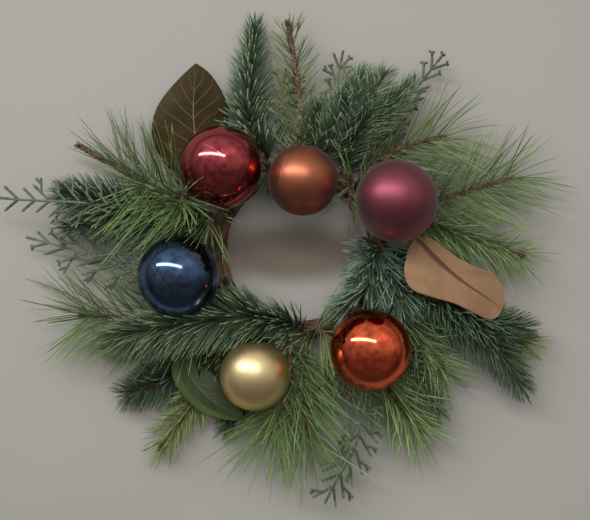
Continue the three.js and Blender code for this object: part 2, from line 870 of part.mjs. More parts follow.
// The cap: a plug in the neck, a crimped skirt on the ball, and an eye for the tie wire.
function capGeometry(ball) {
  const radius = ballSizes[ball.size];
  const profile = [
    [0, radius - cap.neckDepth],
    [cap.neck, radius - cap.neckDepth],
    [cap.neck, radius + clearance],
    [cap.radius, radius - 0.45],
    [cap.radius - 0.4, radius + cap.height - 1],
    [cap.radius - 1.8, radius + cap.height],
    [0, radius + cap.height],
  ].map(([x, y]) => new THREE.Vector2(x, y));
  const crown = new THREE.LatheGeometry(profile, cap.sides).rotateX(Math.PI / 2);
  const eye = new THREE.TorusGeometry(cap.eye, cap.wire, 4, 9);
  eye.rotateX(Math.PI / 2);
  eye.translate(0, 0, radius + cap.height + cap.eye - cap.eyeSunk);
  const direction = vec(...ball.cap).normalize();
  const whole = solidFrom(crown).add(solidFrom(eye));
  return stand(geometryFrom(whole), vec(...ball.at), direction);
}

// The eye's centre and the direction square to its opening.
function eyeOf(ball) {
  const radius = ballSizes[ball.size];
  const direction = vec(...ball.cap).normalize();
  const turned = new THREE.Quaternion().setFromUnitVectors(vec(0, 0, 1), direction);
  const height = radius + cap.height + cap.eye - cap.eyeSunk;
  const centre = vec(...ball.at).addScaledVector(direction, height);
  return { centre, direction, through: vec(0, 1, 0).applyQuaternion(turned) };
}

// A tie wire: pointed where it is pushed into the ring, then hooked through the cap's eye.
function tiePath(ball) {
  const eye = eyeOf(ball);
  const inner = onRing(ball.tie, 3);
  const mouth = onRing(ball.tie, ring.crest + 0.8);
  const near = eye.through.dot(mouth.clone().sub(eye.centre)) > 0 ? 1 : -1;
  const rise = cap.eye - cap.wire - tieWire.radius - clearance;
  const inHole = eye.centre.clone().addScaledVector(eye.direction, rise);
  const beside = (side, out) =>
    inHole
      .clone()
      .addScaledVector(eye.through, side * near)
      .addScaledVector(eye.direction, out);
  const hook = [beside(4.2, 1.5), beside(1.6, 0), beside(-1.6, 0), beside(-3.8, 1.6)];
  return { inner, mouth, points: [inner, mouth, ...hook] };
}

function tieGeometry(ball) {
  const path = tiePath(ball);
  const curve = new THREE.CatmullRomCurve3(path.points, false, "centripetal");
  const body = newBody("tie_" + ball.name);
  const start = path.inner.distanceTo(path.mouth) / curve.getLength();
  let across = vec(0.31, -0.87, 0.38);
  const sections = [];
  for (let i = 0; i <= tieWire.steps; i++) {
    const u = mix(start, 0.985, i / tieWire.steps);
    const along = curve.getTangentAt(u);
    across = across.clone().addScaledVector(along, -across.dot(along)).normalize();
    const beside = along.clone().cross(across);
    const centre = curve.getPointAt(u);
    sections.push({ centre, along, across, beside, radius: tieWire.radius, bearing: false });
  }
  const stem = { inner: path.inner, sections, tip: curve.getPointAt(1) };
  buildStem(body, stem, tieWire.sides);
  return { geometry: geometryOf(body), stem };
}

function material(color, roughness, metalness = 0) {
  return new THREE.MeshStandardMaterial({ color, roughness, metalness });
}

const barkMaterial = material("#5a4636", 0.9);
const capMaterial = material("#b9a067", 0.35, 1);
const wireMaterial = material("#6f6a58", 0.45, 1);

// The wreath's centre and wall plane, seen from the origin on the nail.
const wreath = new THREE.Group();
wreath.position.set(0, ring.depth, -ring.nailSeat);

function addPiece(name, geometry, look, place = [0, 0, 0]) {
  const mesh = new THREE.Mesh(geometry, look);
  mesh.name = name;
  mesh.position.set(...place);
  wreath.add(mesh);
}

const roots = [];
const placeRoot = (stem) =>
  roots.push({ inner: stem.inner, mouth: stem.sections[0].centre, radius: stem.sections[0].radius });

addRingRods();
for (const ball of balls) {
  const at = vec(...ball.at);
  const radius = ballSizes[ball.size];
  const direction = vec(...ball.cap).normalize();
  const capTop = at.clone().addScaledVector(direction, radius + cap.height);
  const eyeTop = capTop.clone().addScaledVector(direction, 2 * cap.eye);
  addRod("ball_" + ball.name, at, at, radius + margin);
  addRod("cap_" + ball.name, at, capTop, cap.radius + margin);
  addRod("cap_" + ball.name, at, eyeTop, cap.eye * cap.wire);
  addPiece("ball_" + ball.name, ballGeometry(ball), material(ball.color, 0.3, 0.6), ball.at);
  addPiece("cap_" + ball.name, capGeometry(ball), capMaterial);
  const tie = tieGeometry(ball);
  placeRoot(tie.stem);
  placeStemRods("tie_" + ball.name, tie.stem);
  addPiece("tie_" + ball.name, tie.geometry, wireMaterial);
}

for (const leaf of leaves) {
  const { geometry, stem } = leafGeometry(leaf);
  placeRoot(stem);
  addPiece(leaf.name, geometry, material(leaf.color, 0.6));
}

const stems = new Map();
for (const spray of [...sprays, ...cedars]) {
  const stem = stemSections(spray.root, spray.route, spray.kind ?? cedar);
  stems.set(spray.name, stem);
  placeRoot(stem);
  placeStemRods(spray.name, stem);
}
for (const spray of cedars) {
  addPiece(spray.name, cedarGeometry(spray, stems.get(spray.name)), material(cedar.color, 0.8));
}
for (const spray of sprays) {
  addPiece(spray.name, sprayGeometry(spray, stems.get(spray.name)), material(spray.kind.color, 0.75));
}
addPiece("vine_ring", ringGeometry(roots), barkMaterial);

export default wreath;
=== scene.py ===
import math
import random

import bmesh
import bpy
from bmesh.types import BMEdge, BMFace, BMVert
from mathutils import Matrix, Vector, noise
from mathutils.bvhtree import BVHTree


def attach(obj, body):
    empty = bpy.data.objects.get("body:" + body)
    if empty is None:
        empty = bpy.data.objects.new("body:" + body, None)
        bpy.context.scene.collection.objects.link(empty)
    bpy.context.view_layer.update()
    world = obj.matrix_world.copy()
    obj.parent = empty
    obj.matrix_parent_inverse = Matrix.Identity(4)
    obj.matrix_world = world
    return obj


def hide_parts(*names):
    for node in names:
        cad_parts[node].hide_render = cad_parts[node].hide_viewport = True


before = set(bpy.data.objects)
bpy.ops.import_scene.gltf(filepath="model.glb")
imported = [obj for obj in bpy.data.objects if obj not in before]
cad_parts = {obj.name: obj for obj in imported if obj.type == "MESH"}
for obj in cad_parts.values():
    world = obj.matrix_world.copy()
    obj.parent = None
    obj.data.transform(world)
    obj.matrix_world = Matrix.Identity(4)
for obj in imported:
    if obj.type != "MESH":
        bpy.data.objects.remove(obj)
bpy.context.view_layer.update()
print("frame loaded")

# Pieces are modelled in millimetres round the ring's centre, as (right, out from the wall (negative), up).
# toFrame then takes them to the frame, in metres from the nail.
wreath = {"wall": 8, "nail": 63.6, "radius": 71, "depth": 8, "crest": 8.7, "mouth": 0.8}
toFrame = Matrix.Scale(0.001, 4) @ Matrix.Translation((0, wreath["wall"], -wreath["nail"]))
holeInFoliage = {"x": (-46, 36), "z": (-40, 26)}
foliageDepth = {"front": -98, "back": -0.7}
rootPoint = 0.4  # a stem's radius where it starts, inside the ring
goldenTurn = math.radians(137.5)
offAxis = Vector((0.31, -0.87, 0.38))  # a way that no stem takes
towardsRoom = Vector((0, -1, 0))
draw = random.Random(2917)


def between(a, b, share):
    return a + (b - a) * share


# Camera

photoCamera = {"place": (-2.7, -1150, -8.9), "lens": 78.65, "sensor": 36, "pixels": (590, 520),
               "near": 0.01}


def makeCamera(settings):
    data = bpy.data.cameras.new("photoCamera")
    data.sensor_fit = "HORIZONTAL"
    data.sensor_width = settings["sensor"]
    data.lens = settings["lens"]
    data.clip_start = settings["near"]
    camera = bpy.data.objects.new("photoCamera", data)
    camera.location = toFrame @ Vector(settings["place"])
    camera.rotation_euler = (math.radians(90), 0, 0)
    bpy.context.scene.collection.objects.link(camera)
    bpy.context.scene.camera = camera


makeCamera(photoCamera)
print("camera placed")


# Materials

class Value:  # a socket, with sums on it written as sums
    def __init__(self, look, socket):
        self.look = look
        self.socket = socket

    def maths(self, operation, first, second=0.0):
        return self.look.node("Math", {"operation": operation}, {0: first, 1: second})

    def __add__(self, other):
        return self.maths("ADD", self, other)

    def __radd__(self, other):
        return self.maths("ADD", other, self)

    def __sub__(self, other):
        return self.maths("SUBTRACT", self, other)

    def __rsub__(self, other):
        return self.maths("SUBTRACT", other, self)

    def __mul__(self, other):
        return self.maths("MULTIPLY", self, other)

    def __rmul__(self, other):
        return self.maths("MULTIPLY", other, self)

    def __truediv__(self, other):
        return self.maths("DIVIDE", self, other)

    def __abs__(self):
        return self.maths("ABSOLUTE", self)

    def part(self, index):  # another output of the same node
        return Value(self.look, self.socket.node.outputs[index])


class Nodes:  # the nodes of a material or of the world
    def __init__(self, tree):
        self.tree = tree

    def feed(self, node, values):
        for key, value in values.items():
            if isinstance(value, Value):
                self.tree.links.new(value.socket, node.inputs[key])
            else:
                node.inputs[key].default_value = value

    def node(self, kind, settings=None, values=None, output=0):
        made = self.tree.nodes.new("ShaderNode" + kind)
        for key, value in (settings or {}).items():
            if key == "stops":
                while len(made.color_ramp.elements) < len(value):
                    made.color_ramp.elements.new(0.5)
                for stop, (place, colour) in zip(made.color_ramp.elements, value):
                    stop.position = place
                    stop.color = colour
            else:
                setattr(made, key, value)
        self.feed(made, values or {})
        return Value(self, made.outputs[output])

    def place(self, output="Object"):
        return self.node("TexCoord", output=output)

    def noise(self, scale, detail=2.0, vector=None):
        values = {"Vector": vector or self.place(), "Scale": scale, "Detail": detail}
        return self.node("TexNoise", None, values)

    def vector(self, operation, first, second=None):
        values = {0: first} if second is None else {0: first, 1: second}
        isNumber = operation in ("LENGTH", "DISTANCE", "DOT_PRODUCT")
        return self.node("VectorMath", {"operation": operation}, values, output=int(isNumber))

    def remap(self, value, low, high, first, last):  # first at low, last at high, straight between
        values = {"Value": value, "From Min": low, "From Max": high, "To Min": first, "To Max": last}
        return self.node("MapRange", None, values)

    def stretch(self, low, high, value):  # 0 at low, 1 at high, smooth between
        values = {"Value": value, "From Min": low, "From Max": high}
        return self.node("MapRange", {"interpolation_type": "SMOOTHSTEP"}, values)

    def mix(self, share, first, second, blend="MIX"):
        settings = {"data_type": "RGBA", "blend_type": blend}
        return self.node("Mix", settings, {0: share, 6: first, 7: second}, output=2)


class Look(Nodes):  # a material
    def __init__(self, name, **constants):
        self.material = bpy.data.materials.new(name)
        self.material.use_nodes = True
        super().__init__(self.material.node_tree)
        self.shader = self.tree.nodes["Principled BSDF"]
        self.set(**constants)

    def set(self, **values):
        self.feed(self.shader, {label.replace("_", " "): value for label, value in values.items()})

    def alongAndAcross(self):  # the two parts of the UV
        spot = self.node("SeparateXYZ", None, {0: self.place("UV")})
        return spot, spot.part(1)

    def finish(self, bump=None, strength=0.5, depth=0.0005, **maps):
        self.set(**maps)
        if bump:
            values = {"Height": bump, "Strength": strength, "Distance": depth}
            self.feed(self.shader, {"Normal": self.node("Bump", None, values)})
        return self.material


def colour(code):  # a screen colour such as #8e7058, as Blender's linear one
    parts = [int(code[i : i + 2], 16) / 255 for i in (1, 3, 5)]
    return (*[p / 12.92 if p <= 0.04045 else ((p + 0.055) / 1.055) ** 2.4 for p in parts], 1)


def only(kind, parts):
    return [part for part in parts if isinstance(part, kind)]


def placeMesh(name, bm, materials):
    bmesh.ops.transform(bm, matrix=toFrame, verts=bm.verts)
    mesh = bpy.data.meshes.new(name)
    bm.to_mesh(mesh)
    bm.free()
    for material in materials:
        mesh.materials.append(material)
    piece = bpy.data.objects.new(name, mesh)
    bpy.context.scene.collection.objects.link(piece)
    return piece


# Wall, floor and light

room = {
    "wall": "#928f8b", "clouds": "#8f8d8a", "cloudy": 0.12,
    # a painted shadow on the wall inside the ring, brown, its reach in metres
    "shade": {"middle": (-8, 0, -2), "squash": (0.4, 1, 1), "reach": (0.022, 0.044), "ragged": 0.012,
              "colour": "#594e42", "share": 0.85},
    # painted shade: the wall darkens far from the wreath
    "far": {"reach": (0.45, 1.3), "ragged": 0.5, "colour": "#35312d", "share": 0.75},
    "gap": 0.4,  # the wall stands this far behind the ring's flats, in mm
    "width": 5000, "deep": 700, "below": 1500, "above": 2000,  # the last two from the ring's centre
    "cove": 120,
}
lights = [
    {"name": "ceilingTube", "place": (-1000, -2100, 1450), "size": (3800, 290), "power": 60,
     "mirrored": True},
    {"name": "skylight", "place": (-300, -2100, 300), "size": (3200, 2200), "power": 32,
     "mirrored": False},
]
sky = {
    "strength": 1.6,
    "stops": [(0.3, "#5a554f"), (0.5, "#86827b"), (0.75, "#c3bfb8")],  # from below to above
    "clutter": {"scale": 3.2, "detail": 5, "range": (0.35, 0.62, 0.55, 1.25)},  # seen blurred in the balls
    "alongWall": (-0.55, -0.02, 1, 0.45),  # dimmer along the wall that the wreath hangs on
}


def makeWallMaterial(settings):
    look = Look("wallPaint", Roughness=0.85, IOR=1.4)
    cloudy = look.stretch(0.35, 0.65, look.noise(2.2, 3)) * settings["cloudy"]
    paint = look.mix(cloudy, colour(settings["wall"]), colour(settings["clouds"]))
    shade, far = settings["shade"], settings["far"]
    # painted shadow: a brown patch darkens the wall inside the ring
    middle = toFrame @ Vector(shade["middle"])
    offset = look.vector("SUBTRACT", look.place(), middle)
    flat = look.vector("LENGTH", look.vector("MULTIPLY", offset, shade["squash"]))
    inPaintedShadow = 1 - look.stretch(*shade["reach"], flat + look.noise(20, 2) * shade["ragged"])
    paint = look.mix(inPaintedShadow * shade["share"], paint, colour(shade["colour"]))
    # well outside the camera's view the wall is painted darker, a painted shade for the dim room, which the
    # balls mirror
    inFarShade = look.stretch(*far["reach"], look.vector("LENGTH", offset) + look.noise(2.5, 4) * far["ragged"])
    paint = look.mix(inFarShade * far["share"], paint, colour(far["colour"]))
    material = look.finish(look.noise(400, 3), 0.12, 0.0004, Base_Color=paint)
    # seen from behind, the wall lets the wreath show
    tree = material.node_tree
    side = look.node("NewGeometry", output="Backfacing")
    clear = look.node("BsdfTransparent")
    values = {0: side, 1: Value(look, look.shader.outputs[0]), 2: clear}
    faces = look.node("MixShader", None, values)
    tree.links.new(faces.socket, tree.nodes["Material Output"].inputs["Surface"])
    return material


def makeRoom(settings):
    bm = bmesh.new()
    bmesh.ops.create_grid(bm, x_segments=1, y_segments=1, size=0.5)
    height = settings["above"] + settings["below"]
    bmesh.ops.scale(bm, vec=(settings["width"], height, 1), verts=bm.verts)
    bmesh.ops.rotate(bm, matrix=Matrix.Rotation(math.radians(90), 3, "X"), verts=bm.verts)
    middle = (settings["above"] - settings["below"]) / 2
    bmesh.ops.translate(bm, vec=(0, settings["gap"], middle), verts=bm.verts)
    lowest = [edge for edge in bm.edges if all(v.co.z < 1 - settings["below"] for v in edge.verts)]
    floor = bmesh.ops.extrude_edge_only(bm, edges=lowest)
    bmesh.ops.translate(bm, vec=(0, -settings["deep"], 0), verts=only(BMVert, floor["geom"]))
    bmesh.ops.bevel(bm, geom=lowest, offset=settings["cove"], segments=8, affect="EDGES", profile=0.5,
                    material=-1)
    bmesh.ops.recalc_face_normals(bm, faces=bm.faces)
    for face in bm.faces:
        if face.normal.y > 0.5 or face.normal.z < -0.5:
            face.normal_flip()
    piece = placeMesh("room", bm, [makeWallMaterial(settings)])


def makeLights(lamps):
    for lamp in lamps:
        data = bpy.data.lights.new(lamp["name"], "AREA")
        data.shape = "RECTANGLE"
        data.size, data.size_y = [side / 1000 for side in lamp["size"]]
        data.energy = lamp["power"]
        light = bpy.data.objects.new(lamp["name"], data)
        light.location = toFrame @ Vector(lamp["place"])
        light.rotation_euler = Vector(lamp["place"]).to_track_quat("Z", "Y").to_euler()
        light.visible_glossy = lamp["mirrored"]
        bpy.context.scene.collection.objects.link(light)


def makeSky(settings):
    world = bpy.data.worlds.new("roomAround")
    world.use_nodes = True
    bpy.context.scene.world = world
    look = Nodes(world.node_tree)
    around = look.place("Generated")
    split = look.node("SeparateXYZ", None, {0: around})
    height = look.remap(split.part(2), -1, 1, 0, 1)
    stops = [(place, colour(code)) for place, code in settings["stops"]]
    ramp = look.node("ValToRGB", {"stops": stops}, {0: height})
    clutter = settings["clutter"]
    bright = look.remap(look.noise(clutter["scale"], clutter["detail"], around), *clutter["range"])
    bright = bright * look.remap(split.part(1), *settings["alongWall"])
    product = look.node("VectorMath", {"operation": "SCALE"}, {0: ramp, "Scale": bright})
    look.feed(look.tree.nodes["Background"], {"Color": product, "Strength": settings["strength"]})
    bpy.context.scene.view_settings.view_transform = "Standard"


makeRoom(room)
makeLights(lights)
makeSky(sky)
print("room lit")


# Shapes that several pieces share

def pieceName(node):
    first, *rest = node.split("_")
    return first + "".join(word.capitalize() for word in rest)


def addPiece(node, bm, materials):
    piece = placeMesh(pieceName(node), bm, materials)
    piece.data.shade_smooth()
    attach(piece, "root")
    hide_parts(node)


def onRing(spot, distance):  # spot is (clock angle, angle round the bundle), both in degrees
    clock, around = [math.radians(angle) for angle in spot]
    outward = Vector((math.cos(clock), 0, math.sin(clock)))
    out = outward * (wreath["radius"] + distance * math.cos(around))
    return out + Vector((0, -wreath["depth"] - distance * math.sin(around), 0))


def smoothRoute(points, step):  # points about a step apart on a centripetal curve through the given ones
    ends = [points[0] * 2 - points[1], *points, points[-1] * 2 - points[-2]]
    fine = []
    for p0, p1, p2, p3 in zip(ends, ends[1:], ends[2:], ends[3:]):
        before, here, after = [max((b - a).length ** 0.5, 1e-4) for a, b in ((p0, p1), (p1, p2), (p2, p3))]
        leaving = ((p1 - p0) / before - (p2 - p0) / (before + here) + (p2 - p1) / here) * here
        arriving = ((p2 - p1) / here - (p3 - p1) / (here + after) + (p3 - p2) / after) * here
        count = max(1, round((p2 - p1).length / step))
        for i in range(count):
            t = i / count
            square, cube = t * t, t * t * t
            spot = p1 * (2 * cube - 3 * square + 1) + leaving * (cube - 2 * square + t)
            fine.append(spot + p2 * (3 * square - 2 * cube) + arriving * (cube - square))
    return [*fine, points[-1].copy()]


def rootedRoute(route, step, depth=2.2):  # from inside the ring out through its skin, and on
    root, *others = route
    inner, mouth = onRing(root, depth), onRing(root, wreath["crest"] + wreath["mouth"])
    return smoothRoute([inner, mouth, *[Vector(p) for p in others]], step), (mouth - inner).length


def taper(first, final, last):  # the radii of a stem, which starts with a point in the ring
    return [rootPoint] + [between(first, final, i / last) for i in range(1, last + 1)]


def headings(points):
    ahead = [b - a for a, b in zip(points, points[1:])]
    ahead = [ahead[0], *[(a + b) / 2 for a, b in zip(ahead, ahead[1:])], ahead[-1]]
    return [way.normalized() for way in ahead]


def drawTube(points, radii, sides):  # a disc drawn along the points, in a bmesh of its own
    bm = bmesh.new()
    ways = headings(points)
    ring = bmesh.ops.create_circle(bm, cap_ends=True, segments=sides, radius=radii[0])["verts"]
    turn = Vector((0, 0, 1)).rotation_difference(ways[0]).to_matrix().to_4x4()
    bmesh.ops.transform(bm, matrix=Matrix.Translation(points[0]) @ turn, verts=ring)
    end = bm.faces[:]
    for i in range(1, len(points)):
        drawn = bmesh.ops.extrude_face_region(bm, geom=end)["geom"]
        end = only(BMFace, drawn)
        turn = ways[i - 1].rotation_difference(ways[i]).to_matrix().to_4x4()
        size = Matrix.Scale(radii[i] / radii[i - 1], 4)
        move = Matrix.Translation(points[i]) @ turn @ size @ Matrix.Translation(-points[i - 1])
        bmesh.ops.transform(bm, matrix=move, verts=only(BMVert, drawn))
    bmesh.ops.recalc_face_normals(bm, faces=bm.faces)
    return bm


def straightRod(shape):  # up Z, with its widths at even steps
    steps = len(shape["along"]) - 1
    points = [Vector((0, 0, shape["long"] * i / steps)) for i in range(steps + 1)]
    return drawTube(points, [shape["radius"] * width for width in shape["along"]], shape["sides"])


def join(bm, other, index=0):  # adds another bmesh to bm, with one material index
    for face in other.faces:
        face.material_index = index
    part = bpy.data.meshes.new("part")
    other.to_mesh(part)
    other.free()
    bm.from_mesh(part)
    bpy.data.meshes.remove(part)


def template(bm, length, hue=0.5, index=0):  # a small mesh to be copied often; UV is (along it, its hue)
    uv = bm.loops.layers.uv.new("along")
    for face in bm.faces:
        face.material_index = index
        for loop in face.loops:
            loop[uv].uv = (max(0, min(1, loop.vert.co.z / length)), hue)
    mesh = bpy.data.meshes.new("template")
    bm.to_mesh(mesh)
    bm.free()
    return mesh


def addCopy(bm, shape, move):
    copy = shape.copy()
    copy.transform(move)
    bm.from_mesh(copy)
    bpy.data.meshes.remove(copy)


def aroundStem(way, across, angle):  # square to the stem
    return across * math.cos(angle) + way.cross(across) * math.sin(angle)


def standing(root, way, towards, size=1.0):  # takes +Z to a heading and +X as near as can be to another
    up = way.normalized()
    side = towards - up * towards.dot(up)
    side = side.normalized() if side.length > 1e-4 else up.orthogonal().normalized()
    turn = Matrix((side, up.cross(side), up)).transposed().to_4x4()
    return Matrix.Translation(root) @ turn @ Matrix.Scale(size, 4)


def spinProfile(points, steps):  # (radius, height) points turned round Z
    bm = bmesh.new()
    verts = [bm.verts.new((radius, 0, height)) for radius, height in points]
    edges = [bm.edges.new(pair) for pair in zip(verts, verts[1:])]
    bmesh.ops.spin(bm, geom=verts + edges, cent=(0, 0, 0), axis=(0, 0, 1),
                   angle=math.radians(360), steps=steps, use_merge=True)
    bmesh.ops.remove_doubles(bm, verts=bm.verts, dist=0.01)
    bmesh.ops.recalc_face_normals(bm, faces=bm.faces)
    return bm


# What needles and leaves keep clear of
obstacles = []


def isClear(points):
    for p in points:
        inX = holeInFoliage["x"][0] < p.x < holeInFoliage["x"][1]
        inZ = holeInFoliage["z"][0] < p.z < holeInFoliage["z"][1]
        if (inX and inZ) or not foliageDepth["front"] < p.y < foliageDepth["back"]:
            return False
    for tree in obstacles:
        for a, b in zip(points, points[1:]):
            if tree.ray_cast(a, b - a, (b - a).length)[0]:
                return False
    return True


# Tree balls

large, small = 35, 30
balls = [
    {"node": "ball_red", "radius": large, "centre": (-66, -50, 71), "cap": (0.64, 0.75, 0.12),
     "tie": (118, 40), "seam": ((203, 143), (219, 152)),
     "colour": "#a6424a", "edge": "#f0c6ca", "roughness": 0.1},
    {"node": "ball_copper", "radius": small, "centre": (4, -52, 59), "cap": (0.7, 0.7, -0.1),
     "tie": (62, 125), "seam": ((285, 161), (280, 188)),
     "colour": "#ad684f", "edge": "#94767c", "haze": 0.07, "roughness": 0.38},
    {"node": "ball_burgundy", "radius": large, "centre": (83, -62, 41), "cap": (-0.1, 0.62, 0.78),
     "tie": (40, 70), "colour": "#8b4856", "edge": "#b5a6b2", "haze": 0.14, "roughness": 0.42},
    {"node": "ball_blue", "radius": large, "centre": (-102, -54, -23), "cap": (0.22, 0.75, 0.61),
     "tie": (182, 45), "seam": ((150, 261), (170, 290)),
     "colour": "#425a7e", "edge": "#d6e0ec", "roughness": 0.1},
    {"node": "ball_gold", "radius": small, "centre": (-37, -46, -108), "cap": (-0.1, 0.7, 0.71),
     "tie": (240, 55), "colour": "#edd6a4", "edge": "#dfb67a", "roughness": 0.39},
    {"node": "ball_orange", "radius": large, "centre": (62, -50, -86), "cap": (0.24, 0.75, 0.61),
     "tie": (-42, 45), "colour": "#e0603e", "edge": "#fbc8b6", "roughness": 0.08},
]
cap = {"radius": 7.6, "height": 5.6, "neck": 3.6, "neckDepth": 5, "clear": 0.3, "eye": 3.2, "sunk": 0.5,
       "wire": 0.75, "flutes": 24, "fluted": 0.035}
tieWire = {"radius": 0.6, "step": 1.6, "depth": 3, "twist": math.radians(50),
           "hook": ((4.2, 1.5), (1.6, 0), (-1.6, 0), (-3.8, 1.6))}  # through the eye and out of the ball


def seamOf(ball):  # the plane through two points seen on the skin, the place midway and its reach
    eye = Vector(photoCamera["place"])
    centre = Vector(ball["centre"])
    radius = ball["radius"]
    onSkin = []
    wide, high = photoCamera["pixels"]
    for across, down in ball["seam"]:
        ahead = photoCamera["lens"] / photoCamera["sensor"] * wide
        ray = Vector((across - wide / 2, ahead, high / 2 - down)).normalized()
        offset = eye - centre
        half = ray.dot(offset)
        distance = -half - math.sqrt(max(0, half * half - offset.length_squared + radius * radius))
        onSkin.append(offset + ray * distance)
    reach = (onSkin[0] - onSkin[1]).length / 2
    return onSkin[0].cross(onSkin[1]).normalized(), centre + (onSkin[0] + onSkin[1]) / 2, reach


def makeBallMaterial(ball):
    satin = ball["roughness"] > 0.2
    look = Look(ball["node"] + "Lacquer", Metallic=1.0, Coat_IOR=1.5, Coat_Roughness=0.06)
    look.set(Coat_Weight=0.0 if satin else 0.35, Specular_Tint=colour(ball["edge"]))
    look.set(Sheen_Weight=ball.get("haze", 0.0), Sheen_Roughness=0.5)
    smears = look.stretch(0.4, 0.7, look.noise(28, 4))
    base = look.mix(smears * 0.16, colour(ball["colour"]), colour("#000000"))
    rough = smears * 0.04 + ball["roughness"]
    height = look.noise(900 if satin else 60, 3)
    if "seam" in ball:
        middle = toFrame @ Vector(ball["centre"])
        plane, midway, reach = seamOf(ball)
        level = abs(look.vector("DOT_PRODUCT", look.vector("SUBTRACT", look.place(), middle), plane))
        away = look.vector("DISTANCE", look.place(), toFrame @ midway)
        near = 1 - look.stretch(reach * 0.0008, reach * 0.0016, away)
        line = (1 - look.stretch(0.00012, 0.0004, level)) * near
        # the seam is real; its paler colour, kept to where it was seen, is partly a painted glint
        pale = tuple(part ** 0.4 for part in colour(ball["colour"]))
        base = look.mix(line * 0.5, base, pale)
        height = height * 0.1 + line
    return look.finish(height, 0.12 if satin else 0.05, 0.0003, Base_Color=base, Roughness=rough)


def standOn(ball, bm):  # turns a shape from +Z to the ball's cap, and moves it there
    turn = Vector((0, 0, 1)).rotation_difference(Vector(ball["cap"]).normalized()).to_matrix().to_4x4()
    bmesh.ops.transform(bm, matrix=Matrix.Translation(ball["centre"]) @ turn, verts=bm.verts)
    obstacles.append(BVHTree.FromBMesh(bm))


def makeBall(ball):
    radius = ball["radius"]
    neck = cap["neck"] + cap["clear"]
    rim = math.asin(neck / radius)
    arcSteps, sides = 40, 72
    profile = []
    for i in range(arcSteps + 1):
        angle = between(math.pi, rim, i / arcSteps)
        profile.append((radius * math.sin(angle), radius * math.cos(angle)))
    floor = radius - cap["neckDepth"] - 0.4
    profile += [(neck - 0.4, radius - 0.9), (neck - 0.4, floor), (0, floor)]
    bm = spinProfile(profile, sides)
    standOn(ball, bm)
    addPiece(ball["node"], bm, [makeBallMaterial(ball)])


def makeCapMaterial():
    look = Look("capMetal", Metallic=1.0)
    worn = look.stretch(0.4, 0.65, look.noise(260, 4))
    metal = look.mix(worn, colour("#c6ae74"), colour("#8f7740"))
    return look.finish(look.noise(700, 3), 0.2, 0.0002, Base_Color=metal, Roughness=0.28 + worn * 0.2)


def makeCap(ball, material):
    radius = ball["radius"]
    inside, skirt = cap["neck"] - 0.2, cap["radius"]
    foot, top = radius - cap["neckDepth"], radius + cap["height"]
    profile = [
        (0, foot), (inside, foot), (inside, radius - 0.2), (skirt - 0.7, radius - 0.2),
        (skirt, radius - 0.6), (skirt + 0.1, radius + 0.4), (skirt - 0.3, top - 1.4),
        (skirt - 0.8, top - 0.5), (skirt - 1.8, top), (0, top + 0.3),
    ]
    bm = spinProfile(profile, cap["flutes"] * 2)
    for v in bm.verts:
        around = math.atan2(v.co.y, v.co.x)
        if v.co.z < top - 1 and v.co.xy.length > skirt - 1:
            v.co.xy *= 1 + cap["fluted"] * math.cos(around * cap["flutes"])
    eye = bmesh.new()
    wire = bmesh.ops.create_circle(eye, segments=10, radius=cap["wire"])["verts"]
    bmesh.ops.translate(eye, vec=(cap["eye"], 0, 0), verts=wire)
    bmesh.ops.spin(eye, geom=eye.verts[:] + eye.edges[:], cent=(0, 0, 0), axis=(0, 1, 0),
                   angle=math.radians(360), steps=28, use_merge=True)
    bmesh.ops.recalc_face_normals(eye, faces=eye.faces)
    bmesh.ops.translate(eye, vec=(0, 0, top + cap["eye"] - cap["sunk"]), verts=eye.verts)
    join(bm, eye)
    standOn(ball, bm)
    addPiece(ball["node"].replace("ball", "cap"), bm, [material])


def makeTieMaterial():
    look = Look("tieWire", Metallic=1.0)
    dull = look.stretch(0.35, 0.65, look.noise(300, 3))
    metal = look.mix(dull, colour("#8d8878"), colour("#5b5648"))
    return look.finish(Base_Color=metal, Roughness=0.35 + dull * 0.25)


def makeTie(ball, material):
    radius = ball["radius"]
    direction = Vector(ball["cap"]).normalized()
    turn = Vector((0, 0, 1)).rotation_difference(direction)
    centre = Vector(ball["centre"]) + direction * (radius + cap["height"] + cap["eye"] - cap["sunk"])
    through = turn @ Vector((0, 1, 0))
    mouth = onRing(ball["tie"], wreath["crest"] + wreath["mouth"])
    near = 1 if through.dot(mouth - centre) > 0 else -1
    inHole = centre + direction * (cap["eye"] - cap["wire"] - tieWire["radius"] - cap["clear"])
    hook = [inHole + through * side * near + direction * out for side, out in tieWire["hook"]]
    points, _ = rootedRoute([ball["tie"], *hook], tieWire["step"], tieWire["depth"])
    ways = headings(points)
    thin = tieWire["radius"] * 0.55
    bm = bmesh.new()
    for start in (0, math.pi):  # two wires twisted together
        strand = []
        for i, (p, way) in enumerate(zip(points, ways)):
            across = way.cross(offAxis).normalized()
            angle = start + tieWire["twist"] * i
            strand.append(p + aroundStem(way, across, angle) * thin * 0.95)
        join(bm, drawTube(strand, [thin] * len(strand), 6))
    addPiece(ball["node"].replace("ball", "tie"), bm, [material])


capMetal = makeCapMaterial()
tieMetal = makeTieMaterial()
for ball in balls:
    makeBall(ball)
    makeCap(ball, capMetal)
    makeTie(ball, tieMetal)
print("balls hung")


# Magnolia leaves

